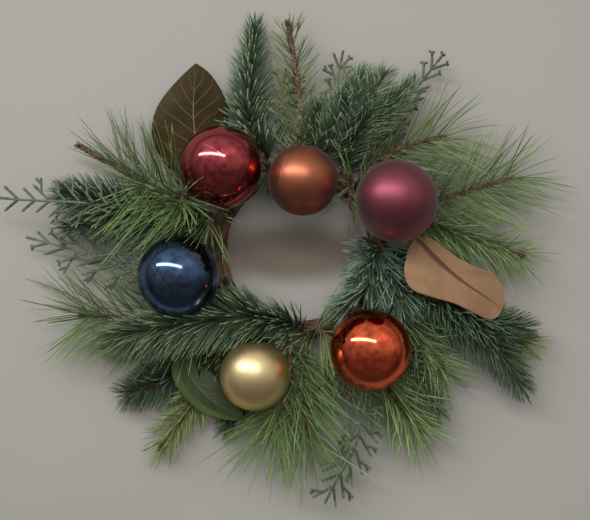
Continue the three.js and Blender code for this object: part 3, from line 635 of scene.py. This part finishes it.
leaves = [
    {"node": "leaf_top_left", "slot": "leaf_olive",
     "route": [(131, 0), (-70, -8, 66), (-86, -9, 84), (-92, -15, 115), (-89.5, -21, 163)],
     "blade": 0.17, "halfWidth": 33, "camber": 5, "face": (0.1, -1, 0), "wave": 1.0, "rib": 0.5,
     "right": ((0, 0.6), (0.15, 14), (0.3, 24), (0.5, 30), (0.7, 29), (0.84, 21), (0.94, 11), (1, 0.6)),
     "left": ((0, 0.6), (0.15, 18), (0.3, 32), (0.47, 37.5), (0.63, 32.5), (0.78, 21.5), (0.92, 9),
              (1, 0.6)),
     "colours": ("#32280f", "#1d140a", "#706040"), "roughness": 0.42, "shine": 0.22,
     "veins": 9, "veined": 0.42, "netted": 0.13, "midrib": 0.07},
    {"node": "leaf_tan", "slot": "leaf_suede",
     "route": [(9, 45), (93, -26, 18), (107, -38, 6), (125, -45, -13), (142, -47, -28), (160, -43, -40),
               (177, -37, -51)],
     "blade": 0.3, "halfWidth": 26, "camber": -3, "face": (-0.1, -1, 0.25), "wave": 0.8, "rib": 1.3,
     "right": ((0, 1), (0.06, 16), (0.18, 30), (0.3, 35), (0.45, 28), (0.6, 20), (0.8, 17.5), (0.95, 14),
               (1, 5)),
     "left": ((0, 1), (0.08, 7), (0.2, 10), (0.4, 13), (0.6, 17), (0.76, 20), (0.9, 15), (0.97, 7), (1, 3)),
     "colours": ("#866a50", "#745a43", "#553a31"), "roughness": 0.9, "shine": 0.2,
     "veins": 10, "veined": 0.1, "midrib": 0.27},
    {"node": "leaf_green", "slot": "leaf_dark",
     "route": [(219, 40), (-84, -20, -80), (-97, -24, -102), (-79, -26, -128), (-46, -25, -149)],
     "blade": 0.32, "halfWidth": 17, "camber": 2.5, "face": (0, -1, 0.1), "wave": 0.6, "rib": 0.5,
     "right": ((0, 0.6), (0.2, 12), (0.45, 15.5), (0.7, 13), (0.9, 6), (1, 0.6)),
     "left": ((0, 0.6), (0.2, 11), (0.5, 18), (0.75, 15), (0.9, 8), (1, 0.6)),
     "colours": ("#2a361d", "#1e2715", "#4f5b33"), "rim": "#3b4722", "roughness": 0.32, "shine": 0.4,
     "veins": 9, "veined": 0.3, "midrib": 0.07},
]
leafBlade = {"thick": 0.9, "rows": 64, "columns": 28, "step": 1.5, "petiole": (1.5, 1.0)}


def makeLeafMaterial(leaf):
    look = Look(leaf["node"] + "Skin", IOR=1.45, Specular_IOR_Level=leaf["shine"])
    main, dark, rib = [colour(code) for code in leaf["colours"]]
    along, across = look.alongAndAcross()
    side = abs(across - 0.5) * 2  # 0 on the midrib, 1 at the edge
    wobble = look.noise(60, 2) * 0.12
    slant = along * leaf["veins"] - side * 2.1 + wobble
    vein = look.node("Math", {"operation": "PINGPONG"}, {0: slant, 1: 0.5})
    veinLine = 1 - look.stretch(0.02, 0.09, vein)
    fine = look.node("TexVoronoi", {"feature": "DISTANCE_TO_EDGE"}, {"Vector": look.place(), "Scale": 620})
    net = 1 - look.stretch(0.0, 0.12, fine)
    midrib = 1 - look.stretch(0.4, 1.0, side / (leaf["midrib"] * (1.15 - along)))
    blotch = look.stretch(0.35, 0.7, look.noise(38, 4))
    skin = look.mix(blotch * 0.8, main, dark)
    skin = look.mix(net * leaf.get("netted", 0), skin, rib)
    skin = look.mix(veinLine * leaf["veined"] * (1 - side * 0.8), skin, rib)  # the side veins fade out
    skin = look.mix(midrib, skin, rib)
    # painted highlight: the rim colour lightens one edge of the leaf
    if "rim" in leaf:  # the edge that turns to the light
        skin = look.mix(look.stretch(0.76, 0.86, across), skin, colour(leaf["rim"]))
    height = veinLine * 0.7 + net * 0.25 + look.noise(900, 2) * 0.3
    rough = leaf["roughness"] + blotch * 0.1
    return look.finish(height, 0.45, 0.0004, Base_Color=skin, Roughness=rough)


def edgeCurve(knots):  # smooth widths along the blade, through (share, width) pairs
    return smoothRoute([Vector((share * 100, width, 0)) for share, width in knots], 1.5)


def widthAt(curve, u):
    for a, b in zip(curve, curve[1:]):
        if b.x >= u * 100:
            return between(a.y, b.y, (u * 100 - a.x) / max(b.x - a.x, 0.01))
    return curve[-1].y


def makeLeaf(leaf):
    face = Vector(leaf["face"]).normalized()
    points, _ = rootedRoute(leaf["route"], leafBlade["step"])
    ways = headings(points)
    count = len(points) - 1
    first = round(count * leaf["blade"])
    bm = bmesh.new()
    bmesh.ops.create_grid(bm, x_segments=leafBlade["rows"], y_segments=leafBlade["columns"], size=0.5)
    uv = bm.loops.layers.uv.new("leaf")
    spots = {v: (v.co.x + 0.5, v.co.y * 2) for v in bm.verts}
    edges = [edgeCurve(leaf["left"]), edgeCurve(leaf["right"])]
    for quad in bm.faces:
        for loop in quad.loops:
            u, v = spots[loop.vert]
            loop[uv].uv = (u, v / 2 + 0.5)
    for vert, (u, v) in spots.items():
        v = math.copysign(abs(v) ** 1.3, v)  # finer near the midrib
        place = between(first, count, u)
        i = min(int(place), count - 1)
        centre = points[i].lerp(points[i + 1], place - i)
        way = ways[i]
        side = way.cross(face).normalized()
        up = side.cross(way).normalized()
        width = widthAt(edges[v > 0], u)
        lift = -leaf["camber"] * v * v * width / leaf["halfWidth"]
        lift += leaf["wave"] * v * v * math.sin(u * 17 + v * 2) * math.sin(math.pi * u)
        rib = leaf["rib"] * math.exp(-((v * width / 1.6) ** 2)) * (1.1 - u)
        vert.co = centre + side * v * width + up * (lift + rib)
    obstacles.append(BVHTree.FromBMesh(bm))
    bmesh.ops.recalc_face_normals(bm, faces=bm.faces)
    bmesh.ops.solidify(bm, geom=bm.faces[:], thickness=leafBlade["thick"])
    stalk = points[: first + 4]
    radii = taper(*leafBlade["petiole"], len(stalk))[:-1]
    join(bm, drawTube(stalk, radii, 8))
    addPiece(leaf["node"], bm, [makeLeafMaterial(leaf)])


for leaf in leaves:
    makeLeaf(leaf)
print("leaves made")


# The vine ring

vine = {"strands": 4, "offset": 4.1, "thick": 4.7, "turns": 2, "lay": 282, "steps": 150, "sides": 10,
        "knotty": 0.6, "thinned": 0.4}


def makeBarkMaterial(name, main, dark, light, scale):
    look = Look(name)
    patches = look.stretch(0.35, 0.65, look.noise(scale, 5))
    flecks = look.stretch(0.55, 0.75, look.noise(scale * 4, 3))
    bark = look.mix(patches, colour(main), colour(dark))
    bark = look.mix(flecks * 0.5, bark, colour(light))
    height = look.noise(scale * 3, 5)
    return look.finish(height, 0.8, 0.0008, Base_Color=bark, Roughness=0.78 + patches * 0.12)


def makeRing(settings, material):
    bm = bmesh.new()
    turnStep = math.radians(360 / settings["steps"])
    twistStep = turnStep * settings["turns"]
    for strand in range(settings["strands"]):
        part = bmesh.new()
        ring = bmesh.ops.create_circle(part, segments=settings["sides"], radius=settings["thick"])["verts"]
        angle = math.radians(360 * strand / settings["strands"] + settings["lay"])
        bmesh.ops.translate(part, vec=(settings["offset"], 0, 0), verts=ring)
        bmesh.ops.rotate(part, matrix=Matrix.Rotation(-angle, 3, "Z"), verts=ring)
        bmesh.ops.translate(part, vec=(wreath["radius"], -wreath["depth"], 0), verts=ring)
        edges = part.edges[:]
        for i in range(settings["steps"]):
            drawn = bmesh.ops.extrude_edge_only(part, edges=edges)["geom"]
            verts = only(BMVert, drawn)
            edges = [edge for edge in only(BMEdge, drawn) if set(edge.verts) <= set(verts)]
            clock = turnStep * i
            along = Vector((-math.sin(clock), 0, math.cos(clock)))
            here = Matrix.Rotation(-clock, 3, "Y") @ Vector((wreath["radius"], -wreath["depth"], 0))
            twist = Matrix.Rotation(twistStep, 3, along)
            bmesh.ops.rotate(part, cent=here, matrix=twist, verts=verts)
            bmesh.ops.rotate(part, cent=(0, 0, 0), matrix=Matrix.Rotation(-turnStep, 3, "Y"), verts=verts)
        bmesh.ops.remove_doubles(part, verts=part.verts, dist=0.05)
        bmesh.ops.recalc_face_normals(part, faces=part.faces)
        for v in part.verts:
            knots = noise.noise(v.co * 0.05 + Vector((strand * 9, 0, 0))) + 0.4 * noise.noise(v.co * 0.35)
            v.co += v.normal * (knots * settings["knotty"] - settings["thinned"])
        join(bm, part)
    cut = bmesh.ops.bisect_plane(bm, geom=bm.verts[:] + bm.edges[:] + bm.faces[:], dist=0.01,
                                 plane_co=(0, 0, 0), plane_no=(0, 1, 0), clear_outer=True)["geom_cut"]
    bmesh.ops.holes_fill(bm, edges=only(BMEdge, cut), sides=0)
    addPiece("vine_ring", bm, [material])


vineBark = makeBarkMaterial("vineBark", "#553b29", "#2f2117", "#765a43", 90)
makeRing(vine, vineBark)
print("ring twisted")


# Sprays of fir and pine

fir = {
    "stem": (1.7, 0.8), "bare": 3, "lying": 0.38,  # lying 1 is round, 0 flat to the wall
    "apart": 0.32, "bunch": 1, "needle": (29, 13), "lean": (55, 26), "hold": 3.5, "spread": 4, "droop": 0,
    "radius": 0.74, "flat": 0.5, "bends": (0, 3, 6), "sides": 4, "along": (0.7, 1, 0.95, 0.4),
    "long": 24,
}
pine = {
    "stem": (2.3, 1.5), "bare": 4, "lying": 0.85,
    "apart": 1.4, "bunch": 3, "needle": (66, 62), "lean": (56, 44), "hold": 1.2, "spread": 15,
    "droop": 0.7,
    "radius": 0.56, "flat": 0.8, "bends": (0, 3, 7, 12), "sides": 3,
    "along": (0.8, 1, 1, 0.95, 0.8, 0.6, 0.15), "long": 62, "stray": 0.03,
}
needling = {"varied": (0.85, 1.06), "stray": 1.3, "tries": 3, "loose": 0.3, "offWall": 1.6,
            "hues": (0.1, 0.5, 0.9)}


def needleShapes(kind):
    shapes = []
    long = kind["long"]
    for bend in kind["bends"]:
        for hue in needling["hues"]:
            bm = straightRod(kind)
            bmesh.ops.scale(bm, vec=(kind["flat"], 1, 1), verts=bm.verts)
            for v in bm.verts:
                v.co.x += long * math.tan(math.radians(bend)) * (v.co.z / long) ** 2
            tip = max(bm.verts, key=lambda v: v.co.z).co.copy()
            shapes.append({"mesh": template(bm, long, hue, 1), "bend": tip.x, "reach": tip.z})
    return shapes


midPine = {**pine, "needle": (52, 36), "long": 45, "along": (0.8, 1, 1, 0.9, 0.7, 0.15)}
shortPine = {**pine, "needle": (32, 24), "lean": (54, 42), "long": 30, "apart": 1.3, "droop": 0,
             "along": (0.8, 1, 1, 0.8, 0.2)}
for kind in (fir, pine, midPine, shortPine):
    kind["shapes"] = needleShapes(kind)
bigFir = {**fir, "needle": (35, 18)}
smallFir = {**fir, "needle": (18, 11)}
usualKinds = {"fir": bigFir, "pine": pine}
sprays = {  # a route starts with a spot on the ring; twigs are (how far along the stem, kind, route)
    "fir_top": {"kind": fir, "needle": (33, 15), "lean": (56, 30), "hold": 2.5, "apart": 0.36,
        "thin": 1.4, "lying": 0.8, "route": [(109, 8), (-42, -12, 108), (-41, -13, 150), (-38, -15, 197)],
        "twigs": [(0.05, smallFir, [(-28, -22, 66), (-24, -22, 48)])]},
    "pine_top": {"kind": shortPine, "stem": (2.2, 1.8), "needle": (33, 26), "lean": (58, 44),
        "apart": 2.2, "lying": 0.45, "bud": 12,
        "route": [(92, 35), (2, -15, 105), (-1, -24, 150), (-9, -30, 199)]},
    "fir_top_small": {"kind": fir, "route": [(82, 10), (17, -17, 100), (17, -26, 126)]},
    "fir_top_middle": {"needle": (31, 13), "lean": (42, 14),
        "route": [(73, 40), (32, -24, 100), (44, -34, 128), (56, -38, 152)]},
    "fir_top_right": {"needle": (28, 14), "lean": (42, 18),
        "route": [(62, 20), (52, -30, 100), (76, -42, 120), (96, -44, 142)],
        "twigs": [(0.3, {**bigFir, "needle": (28, 13)}, [(60, -42, 124), (76, -40, 154)])]},
    "pine_upper_right": {"apart": 2.1, "sway": (0.1, 0, 0.15),
        "route": [(48, 15), (68, -18, 76), (92, -24, 90), (129, -30, 99)],
        "twigs": [(0.06, midPine, [(46, -26, 56), (46, -26, 34)])]},
    "pine_right": {"apart": 1.6, "route": [(31, 15), (92, -12, 44), (118, -16, 44), (188, -34, 63)]},
    "pine_right_low": {"kind": midPine, "bud": 5, "route": [(18, 15), (125, -15, 20), (197, -26, -5)]},
    "pine_bud_right": {"kind": shortPine, "needle": (32, 32), "bud": 6,
        "route": [(-12, 0), (134, -12, -44), (200, -16, -84)]},
    "fir_right_low": {"route": [(-21, 20), (124, -24, -51), (165, -30, -78), (194, -26, -118)]},
    "fir_right_mid": {"route": [(-2, 20), (116, -26, -30), (158, -34, -60), (196, -30, -68)]},
    "fir_inner_right": {"bare": 0, "route": [(4, 80), (70, -28, -16), (56, -33, -38), (36, -34, -56)],
        "twigs": [(0.15, fir, [(60, -28, -8), (40, -30, -30)])]},
    "fir_inner_low": {"route": [(-11, 45), (84, -24, -22), (90, -30, -50)]},
    "pine_low_right": {"kind": midPine, "route": [(-29, 5), (99, -12, -71), (132, -18, -112)]},
    "fir_low_right": {"kind": fir, "route": [(-45, 0), (100, -14, -107), (124, -26, -145)]},
    "pine_bottom_right": {"kind": midPine, "needle": (54, 44), "stray": 0.06, "bud": 5,
        "sway": (0, 0, -0.2), "route": [(-56, 0), (78, -12, -120), (108, -24, -161)]},
    "pine_bottom": {"bare": 0, "route": [(-84, 10), (4, -20, -118), (9, -26, -171)],
        "twigs": [(0.04, midPine, [(18, -28, -70), (34, -32, -84)])]},
    "pine_bottom_left": {"route": [(-96, 25), (-8, -24, -112), (-26, -32, -165)]},
    "fir_front_low": {"needle": (38, 24), "lean": (52, 40), "apart": 0.17, "thin": 0.8,
        "sway": (0, 0, -0.2), "route": [(-86, 100), (-42, -36, -58), (-110, -44, -66), (-158, -40, -77)]},
    "fir_bottom_small": {"kind": fir, "route": [(-110, 0), (-48, -10, -128), (-64, -13, -160)]},
    "pine_bottom_short": {"kind": shortPine, "needle": (36, 28), "bud": 8,
        "route": [(-127, 0), (-82, -9, -120), (-122, -14, -176)]},
    "fir_bottom_left": {"needle": (30, 18), "lean": (60, 44), "apart": 0.24,
        "route": [(-139, 5), (-104, -9, -107), (-152, -15, -128)]},
    "pine_left_low": {"stray": 0.05, "spread": 12, "bud": 5,
        "route": [(212, 20), (-117, -18, -58), (-191, -24, -57)]},
    "fir_left_low": {"kind": smallFir, "route": [(206, 0), (-118, -10, -80), (-168, -11, -90)],
        "twigs": [(0.03, smallFir, [(-66, -24, -36), (-54, -24, -52)])]},
    "fir_left": {"route": [(167, 25), (-110, -18, 26), (-147, -22, 36), (-205, -25, 50)],
        "twigs": [(0.4, {**bigFir, "needle": (24, 15)}, [(-162, -22, 26), (-203, -20, 20)])]},
    "pine_left": {"lean": (55, 50), "apart": 1.1, "lying": 0.6, "sway": (0, 0, -0.55),
        "route": [(158, 55), (-104, -33, 42), (-138, -42, 56)],
        "twigs": [(0.1, {**midPine, "apart": 4}, [(-78, -30, 30), (-74, -30, 12)]),
                  (0.35, {**midPine, "needle": (46, 40), "apart": 1.6, "lean": (52, 34), "lying": 1},
                   [(-101, -46, 42), (-95, -60, 47)])]},
    "pine_upper_left": {"apart": 2.5, "bud": 26, "bearing": (0.25, 0.8), "sway": (0.25, 0, 0.75),
        "route": [(147, 5), (-98, -12, 48), (-130, -16, 57), (-193, -22, 92)]},
}
stem = {"step": 2.0, "sides": 7, "turn": 2.4, "rough": 0.35, "scaleLean": 0.55, "scaleSizes": (0.8, 1.2)}
bud = {"apart": 0.35, "turn": 2.4, "lean": 1.1, "wide": 1.2, "scaleSizes": (0.75, 1.15)}


def makeNeedleMaterial(name, base, main, dark, tip, roughness):
    look = Look(name, IOR=1.45, Specular_IOR_Level=0.3)
    along, hue = look.alongAndAcross()
    patches = look.stretch(0.3, 0.7, look.noise(24, 2))
    green = look.mix(hue * 0.75 + patches * 0.25, colour(main), colour(dark))
    green = look.mix(1 - look.stretch(0.0, 0.14, along), green, colour(base))
    green = look.mix(look.stretch(0.8, 1.0, along) * 0.45, green, colour(tip))
    return look.finish(Base_Color=green, Roughness=roughness + patches * 0.1)


def growStem(points, radii, scales):
    bm = drawTube(points, radii, stem["sides"])
    for v in bm.verts:
        v.co += v.normal * noise.noise(v.co * 0.8) * stem["rough"]
    ways = headings(points)
    count = int(len(points) * scales["each"])
    for i in range(count):
        k = between(2, len(points) - 2, i / max(count, 1))
        j = int(k)
        way = ways[j]
        radial = aroundStem(way, way.orthogonal().normalized(), i * stem["turn"])
        root = points[j].lerp(points[j + 1], k - j) + radial * radii[j] * 0.75
        size = draw.uniform(*stem["scaleSizes"])
        addCopy(bm, scales["shape"], standing(root, way + radial * stem["scaleLean"], radial, size))
    return bm


def scaleShape(length, radius):
    bm = bmesh.new()
    bmesh.ops.create_cone(bm, cap_ends=True, segments=5, radius1=radius, radius2=radius * 0.25,
                          depth=length)
    bmesh.ops.translate(bm, vec=(0, 0, length / 2), verts=bm.verts)
    bmesh.ops.scale(bm, vec=(0.6, 1, 1), verts=bm.verts)
    return template(bm, length, 0.5, 0)


def growSpray(kind, scales):
    points, rooted = rootedRoute(kind["route"], stem["step"])
    last = len(points) - 1
    radii = taper(*kind["stem"], last)
    radii[-1] *= 0.5
    bm = growStem(points, radii, scales)
    budded = kind.get("bud", 0)
    growBud(bm, points, budded)
    span = rooted + kind["bare"], last * stem["step"] - 1 - budded * 0.6
    span = [between(*span, share) for share in kind.get("bearing", (0, 1))]
    sway = Vector(kind.get("sway", (0, 0, 0)))
    growNeedles(bm, kind, points, radii, span, sway)
    for start, twigKind, route in kind.get("twigs", []):
        k = max(3, round(start * last))
        side = smoothRoute([points[k], *[Vector(p) for p in route]], stem["step"])
        thin = [between(radii[k] * 0.8, 0.8, i / len(side)) for i in range(len(side))]
        join(bm, growStem(side, thin, scales))
        growNeedles(bm, twigKind, side, thin, (3, len(side) * stem["step"] - 3), sway)
    return bm


def growNeedles(bm, kind, points, radii, span, sway):
    ways = headings(points)
    lengths = [0]
    for a, b in zip(points, points[1:]):
        lengths.append(lengths[-1] + (b - a).length)
    start, end = span
    count = int((end - start) / kind["apart"])
    k = 0
    turn = 0.0
    for i in range(count):
        distance = between(start, end, (i + draw.random()) / count)
        while k + 2 < len(points) and lengths[k + 1] < distance:
            k += 1
        while lengths[k] > distance and k > 0:
            k -= 1
        share = (distance - start) / (end - start)
        way = ways[k]
        centre = points[k] + way * (distance - lengths[k])
        across = way.cross(offAxis).normalized()
        turn += goldenTurn
        for attempt in range(needling["tries"]):
            loose = draw.uniform(-needling["loose"], needling["loose"])
            radial = aroundStem(way, across, turn + loose + attempt)
            radial = Vector((radial.x, radial.y * kind["lying"], radial.z))  # flatter towards the wall
            radial = (radial - way * radial.dot(way)).normalized()
            root = centre + radial * radii[k] * 0.6
            if growBunch(bm, kind, root, way, radial, share, sway):
                break


def growBunch(bm, kind, root, way, radial, share, sway):
    grown = False
    for _ in range(kind["bunch"]):
        held = share ** kind["hold"]
        long = between(*kind["needle"], held) * draw.uniform(*needling["varied"])
        if draw.random() < kind.get("stray", 0):
            long *= needling["stray"]
        lean = math.radians(between(*kind["lean"], held) + draw.gauss(0, kind["spread"] * 0.6))
        aside = way.cross(radial) * math.sin(math.radians(draw.gauss(0, kind["spread"])))
        heading = way * math.cos(lean) + radial * math.sin(lean) + aside + sway
        heading.y = min(heading.y, (-needling["offWall"] - root.y) / long)
        heading.normalize()
        shape = draw.choice(kind["shapes"])
        move = standing(root, heading, way - Vector((0, 0, kind["droop"])), long / kind["long"])
        move = move @ Matrix.Diagonal((1, kind.get("thin", 1), 1, 1))
        midway = Vector((shape["bend"] * 0.3, 0, kind["long"] * 0.5))
        tip = Vector((shape["bend"], 0, shape["reach"]))
        if isClear([root, move @ midway, move @ tip]):
            addCopy(bm, shape["mesh"], move)
            grown = True
    return grown


def growBud(bm, points, long):  # brown cones crowd the last part of the stem
    way = (points[-1] - points[-2]).normalized()
    across = way.orthogonal().normalized()
    for i in range(int(long / bud["apart"])):
        radial = aroundStem(way, across, i * bud["turn"])
        back = i * bud["apart"]
        k = max(0, len(points) - 1 - round(back / stem["step"]))
        root = points[k] + radial * min(bud["wide"], back)
        size = draw.uniform(*bud["scaleSizes"])
        addCopy(bm, budScale, standing(root, way + radial * bud["lean"], radial, size))


twigBark = makeBarkMaterial("twigBark", "#6e5444", "#46352a", "#92745e", 260)
pineBark = makeBarkMaterial("pineTwigBark", "#7a5f4c", "#503c30", "#a08468", 240)
needleColours = {  # at the foot, two greens, at the tip, roughness
    "firNeedles": ("#7d7860", "#69775d", "#506047", "#78876c", 0.6),
    "darkFirNeedles": ("#625e49", "#4f614a", "#374935", "#5e7058", 0.55),
    "fanFirNeedles": ("#7e7b63", "#73876b", "#556950", "#869c7f", 0.55),
    "blueFirNeedles": ("#808670", "#728b75", "#536a59", "#8a9d88", 0.5),
    "pineNeedles": ("#a6aa79", "#8ea468", "#658151", "#a3b07e", 0.42),
    "youngPineNeedles": ("#aeae79", "#93a667", "#6d8049", "#a8b37c", 0.45),
}
needleSkins = {name: makeNeedleMaterial(name, *values) for name, values in needleColours.items()}
unlike = {  # the sprays that aren't of the usual green
    "darkFirNeedles": ("fir_left", "fir_bottom_left", "fir_bottom_small", "fir_right_low", "fir_right_mid"),
    "fanFirNeedles": ("fir_top", "fir_top_small", "fir_top_middle", "fir_top_right"),
    "blueFirNeedles": ("fir_inner_right", "fir_inner_low"),
    "youngPineNeedles": ("pine_top", "pine_bud_right", "pine_bottom_short"),
}

budScale = scaleShape(3.6, 1.5)
barks = {
    "fir": (twigBark, {"each": 1.5, "shape": scaleShape(2.0, 0.7)}),
    "pine": (pineBark, {"each": 4.0, "shape": scaleShape(2.6, 1.0)}),
}
for node, spray in sprays.items():
    slot = node.split("_")[0]
    name = next((name for name, nodes in unlike.items() if node in nodes), slot + "Needles")
    skin, scales = barks[slot]
    bm = growSpray({**spray.get("kind", usualKinds[slot]), **spray}, scales)
    addPiece(node, bm, [skin, needleSkins[name]])
    print("grown", node)


# Cedar

cedar = {
    "stem": (1.5, 1.1), "sides": 6, "bare": 8, "brown": 140,  # brown up to this distance from the middle
    "apart": 12.5, "branchlet": (22, 14), "lean": (40, 38), "end": 9,
    "prongApart": 10, "prong": (8, 13), "prongLean": (36, 46), "prongTilt": (-0.15, 0.1),
    "varied": (0.75, 1.08), "tilt": (-0.12, 0.06), "offWall": 2.5, "fork": (2.38, 3.74), "forkOneIn": 5,
    "plain": 8,  # rods no longer than this carry nothing
}
cedarRod = {"long": 10, "radius": 1.15, "along": (0.9, 1.1, 0.9, 1.1, 0.9, 1.1, 0.6), "sides": 5,
            "hues": (0.1, 0.4, 0.7, 0.95)}
cedars = {
    "cedar_top": {"branchlet": (26, 16), "apart": 10, "brown": 70,
        "route": [(99, 0), (-20, -12, 106), (-12, -15, 151)]},
    "cedar_top_right": {"branchlet": (34, 14), "lean": (32, 30), "forkOneIn": 2,
        "route": [(75, 0), (29, -12, 120), (38, -15, 167)]},
    "cedar_upper_right": {"branchlet": (32, 13), "lean": (34, 32), "forkOneIn": 2,
        "route": [(56, 0), (76, -12, 106), (122, -18, 165)]},
    "cedar_bottom": {"branchlet": (42, 20), "lean": (34, 36),
        "route": [(-68, 0), (44, -20, -118), (53, -30, -158), (27, -30, -213)]},
    "cedar_left_low": {"branchlet": (62, 15), "lean": (27, 32), "apart": 17,
        "prong": (12, 18), "prongApart": 13, "route": [(193, 0), (-148, -11, -11), (-231, -16, 9)]},
    "cedar_left": {"lean": (42, 42), "branchlet": (42, 15), "prong": (10, 15),
        "route": [(176, 5), (-110, -14, 14), (-157, -32, 36), (-250, -36, 44)]},
}


def makeCedarMaterial(name, main, dark, tip):
    look = Look(name, IOR=1.45)
    along, hue = look.alongAndAcross()
    patches = look.stretch(0.3, 0.7, look.noise(60, 3))
    green = look.mix(hue * 0.6 + patches * 0.4, colour(main), colour(dark))
    green = look.mix(look.stretch(0.7, 1.0, along) * 0.35, green, colour(tip))
    scales = look.node("TexVoronoi", {"feature": "F1"}, {"Vector": look.place(), "Scale": 900})
    return look.finish(scales, 0.5, 0.0004, Base_Color=green, Roughness=0.5 + patches * 0.1)


def scalyRod(rod, hue):
    bm = straightRod(rod)
    bmesh.ops.scale(bm, vec=(0.8, 1.1, 1), verts=bm.verts)
    return template(bm, rod["long"], hue, 1)


def growRod(bm, rods, root, heading, long):
    end = root + heading * long
    if not isClear([root, root.lerp(end, 0.5), end]):
        return None
    move = standing(root, heading, towardsRoom) @ Matrix.Diagonal((1, 1, long / cedarRod["long"], 1))
    addCopy(bm, draw.choice(rods), move)
    return end


def growBranchlet(bm, kind, rods, root, heading, long):  # a rod with prongs to both sides, some forked
    side = heading.cross(towardsRoom).normalized()
    end = growRod(bm, rods, root, heading, long)
    if end is None:
        return
    if draw.random() * kind["forkOneIn"] < 1:
        for hand in (-1, 1):
            fork = (heading * 0.5 + side * hand).normalized()
            growRod(bm, rods, end - heading, fork, draw.uniform(*kind["fork"]))
    count = int((long - kind["plain"]) / kind["prongApart"])
    hand = draw.choice((-1, 1))
    for i in range(count):
        share = (i + 1) / (count + 1)
        hand = -hand
        lean = math.radians(draw.uniform(*kind["prongLean"]))
        way = heading * math.cos(lean) + side * hand * math.sin(lean)
        way = way + Vector((0, draw.uniform(*kind["prongTilt"]), 0))
        prong = draw.uniform(*kind["prong"]) * (1.4 - share * 0.6)
        place = root.lerp(end, share)
        tip = growRod(bm, rods, place, way.normalized(), prong)
        if tip and prong > kind["plain"]:
            growRod(bm, rods, place.lerp(tip, 0.6), heading, prong * 0.5)


def growCedar(kind, rods):
    points, rooted = rootedRoute(kind["route"], stem["step"])
    ways = headings(points)
    last = len(points) - 1
    bm = drawTube(points, taper(*kind["stem"], last), kind["sides"])
    for face in bm.faces:
        face.material_index = 0 if face.calc_center_median().length < kind["brown"] else 1
    start = int((rooted + kind["bare"]) / stem["step"])
    count = int((last - start) * stem["step"] / kind["apart"])
    for i in range(count + 1):
        share = i / (count + 0.6)
        k = min(int(between(start, last, share)), last)
        way = ways[k]
        side = way.cross(towardsRoom).normalized()
        for hand in (-1, 1):
            lean = math.radians(between(*kind["lean"], share) + draw.uniform(-4, 4))
            heading = (way * math.cos(lean) + side * hand * math.sin(lean)).normalized()
            long = between(*kind["branchlet"], share) * draw.uniform(*kind["varied"])
            heading.y += draw.uniform(*kind["tilt"])
            heading.y = min(heading.y, (-kind["offWall"] - points[k].y) / long)
            growBranchlet(bm, kind, rods, points[k], heading.normalized(), long)
    growBranchlet(bm, kind, rods, points[-1], ways[-1], kind["end"])
    return bm


cedarGreen = makeCedarMaterial("cedarScales", "#55634f", "#374534", "#7b815b")
cedarDark = makeCedarMaterial("darkCedarScales", "#575e4b", "#3b4233", "#777d5a")
cedarRods = [scalyRod(cedarRod, hue) for hue in cedarRod["hues"]]
for node, spray in cedars.items():
    green = cedarDark if "top" in node or "upper" in node else cedarGreen
    addPiece(node, growCedar({**cedar, **spray}, cedarRods), [twigBark, green])
print("cedar grown")

for mesh in [m for m in bpy.data.meshes if m.users == 0]:
    bpy.data.meshes.remove(mesh)
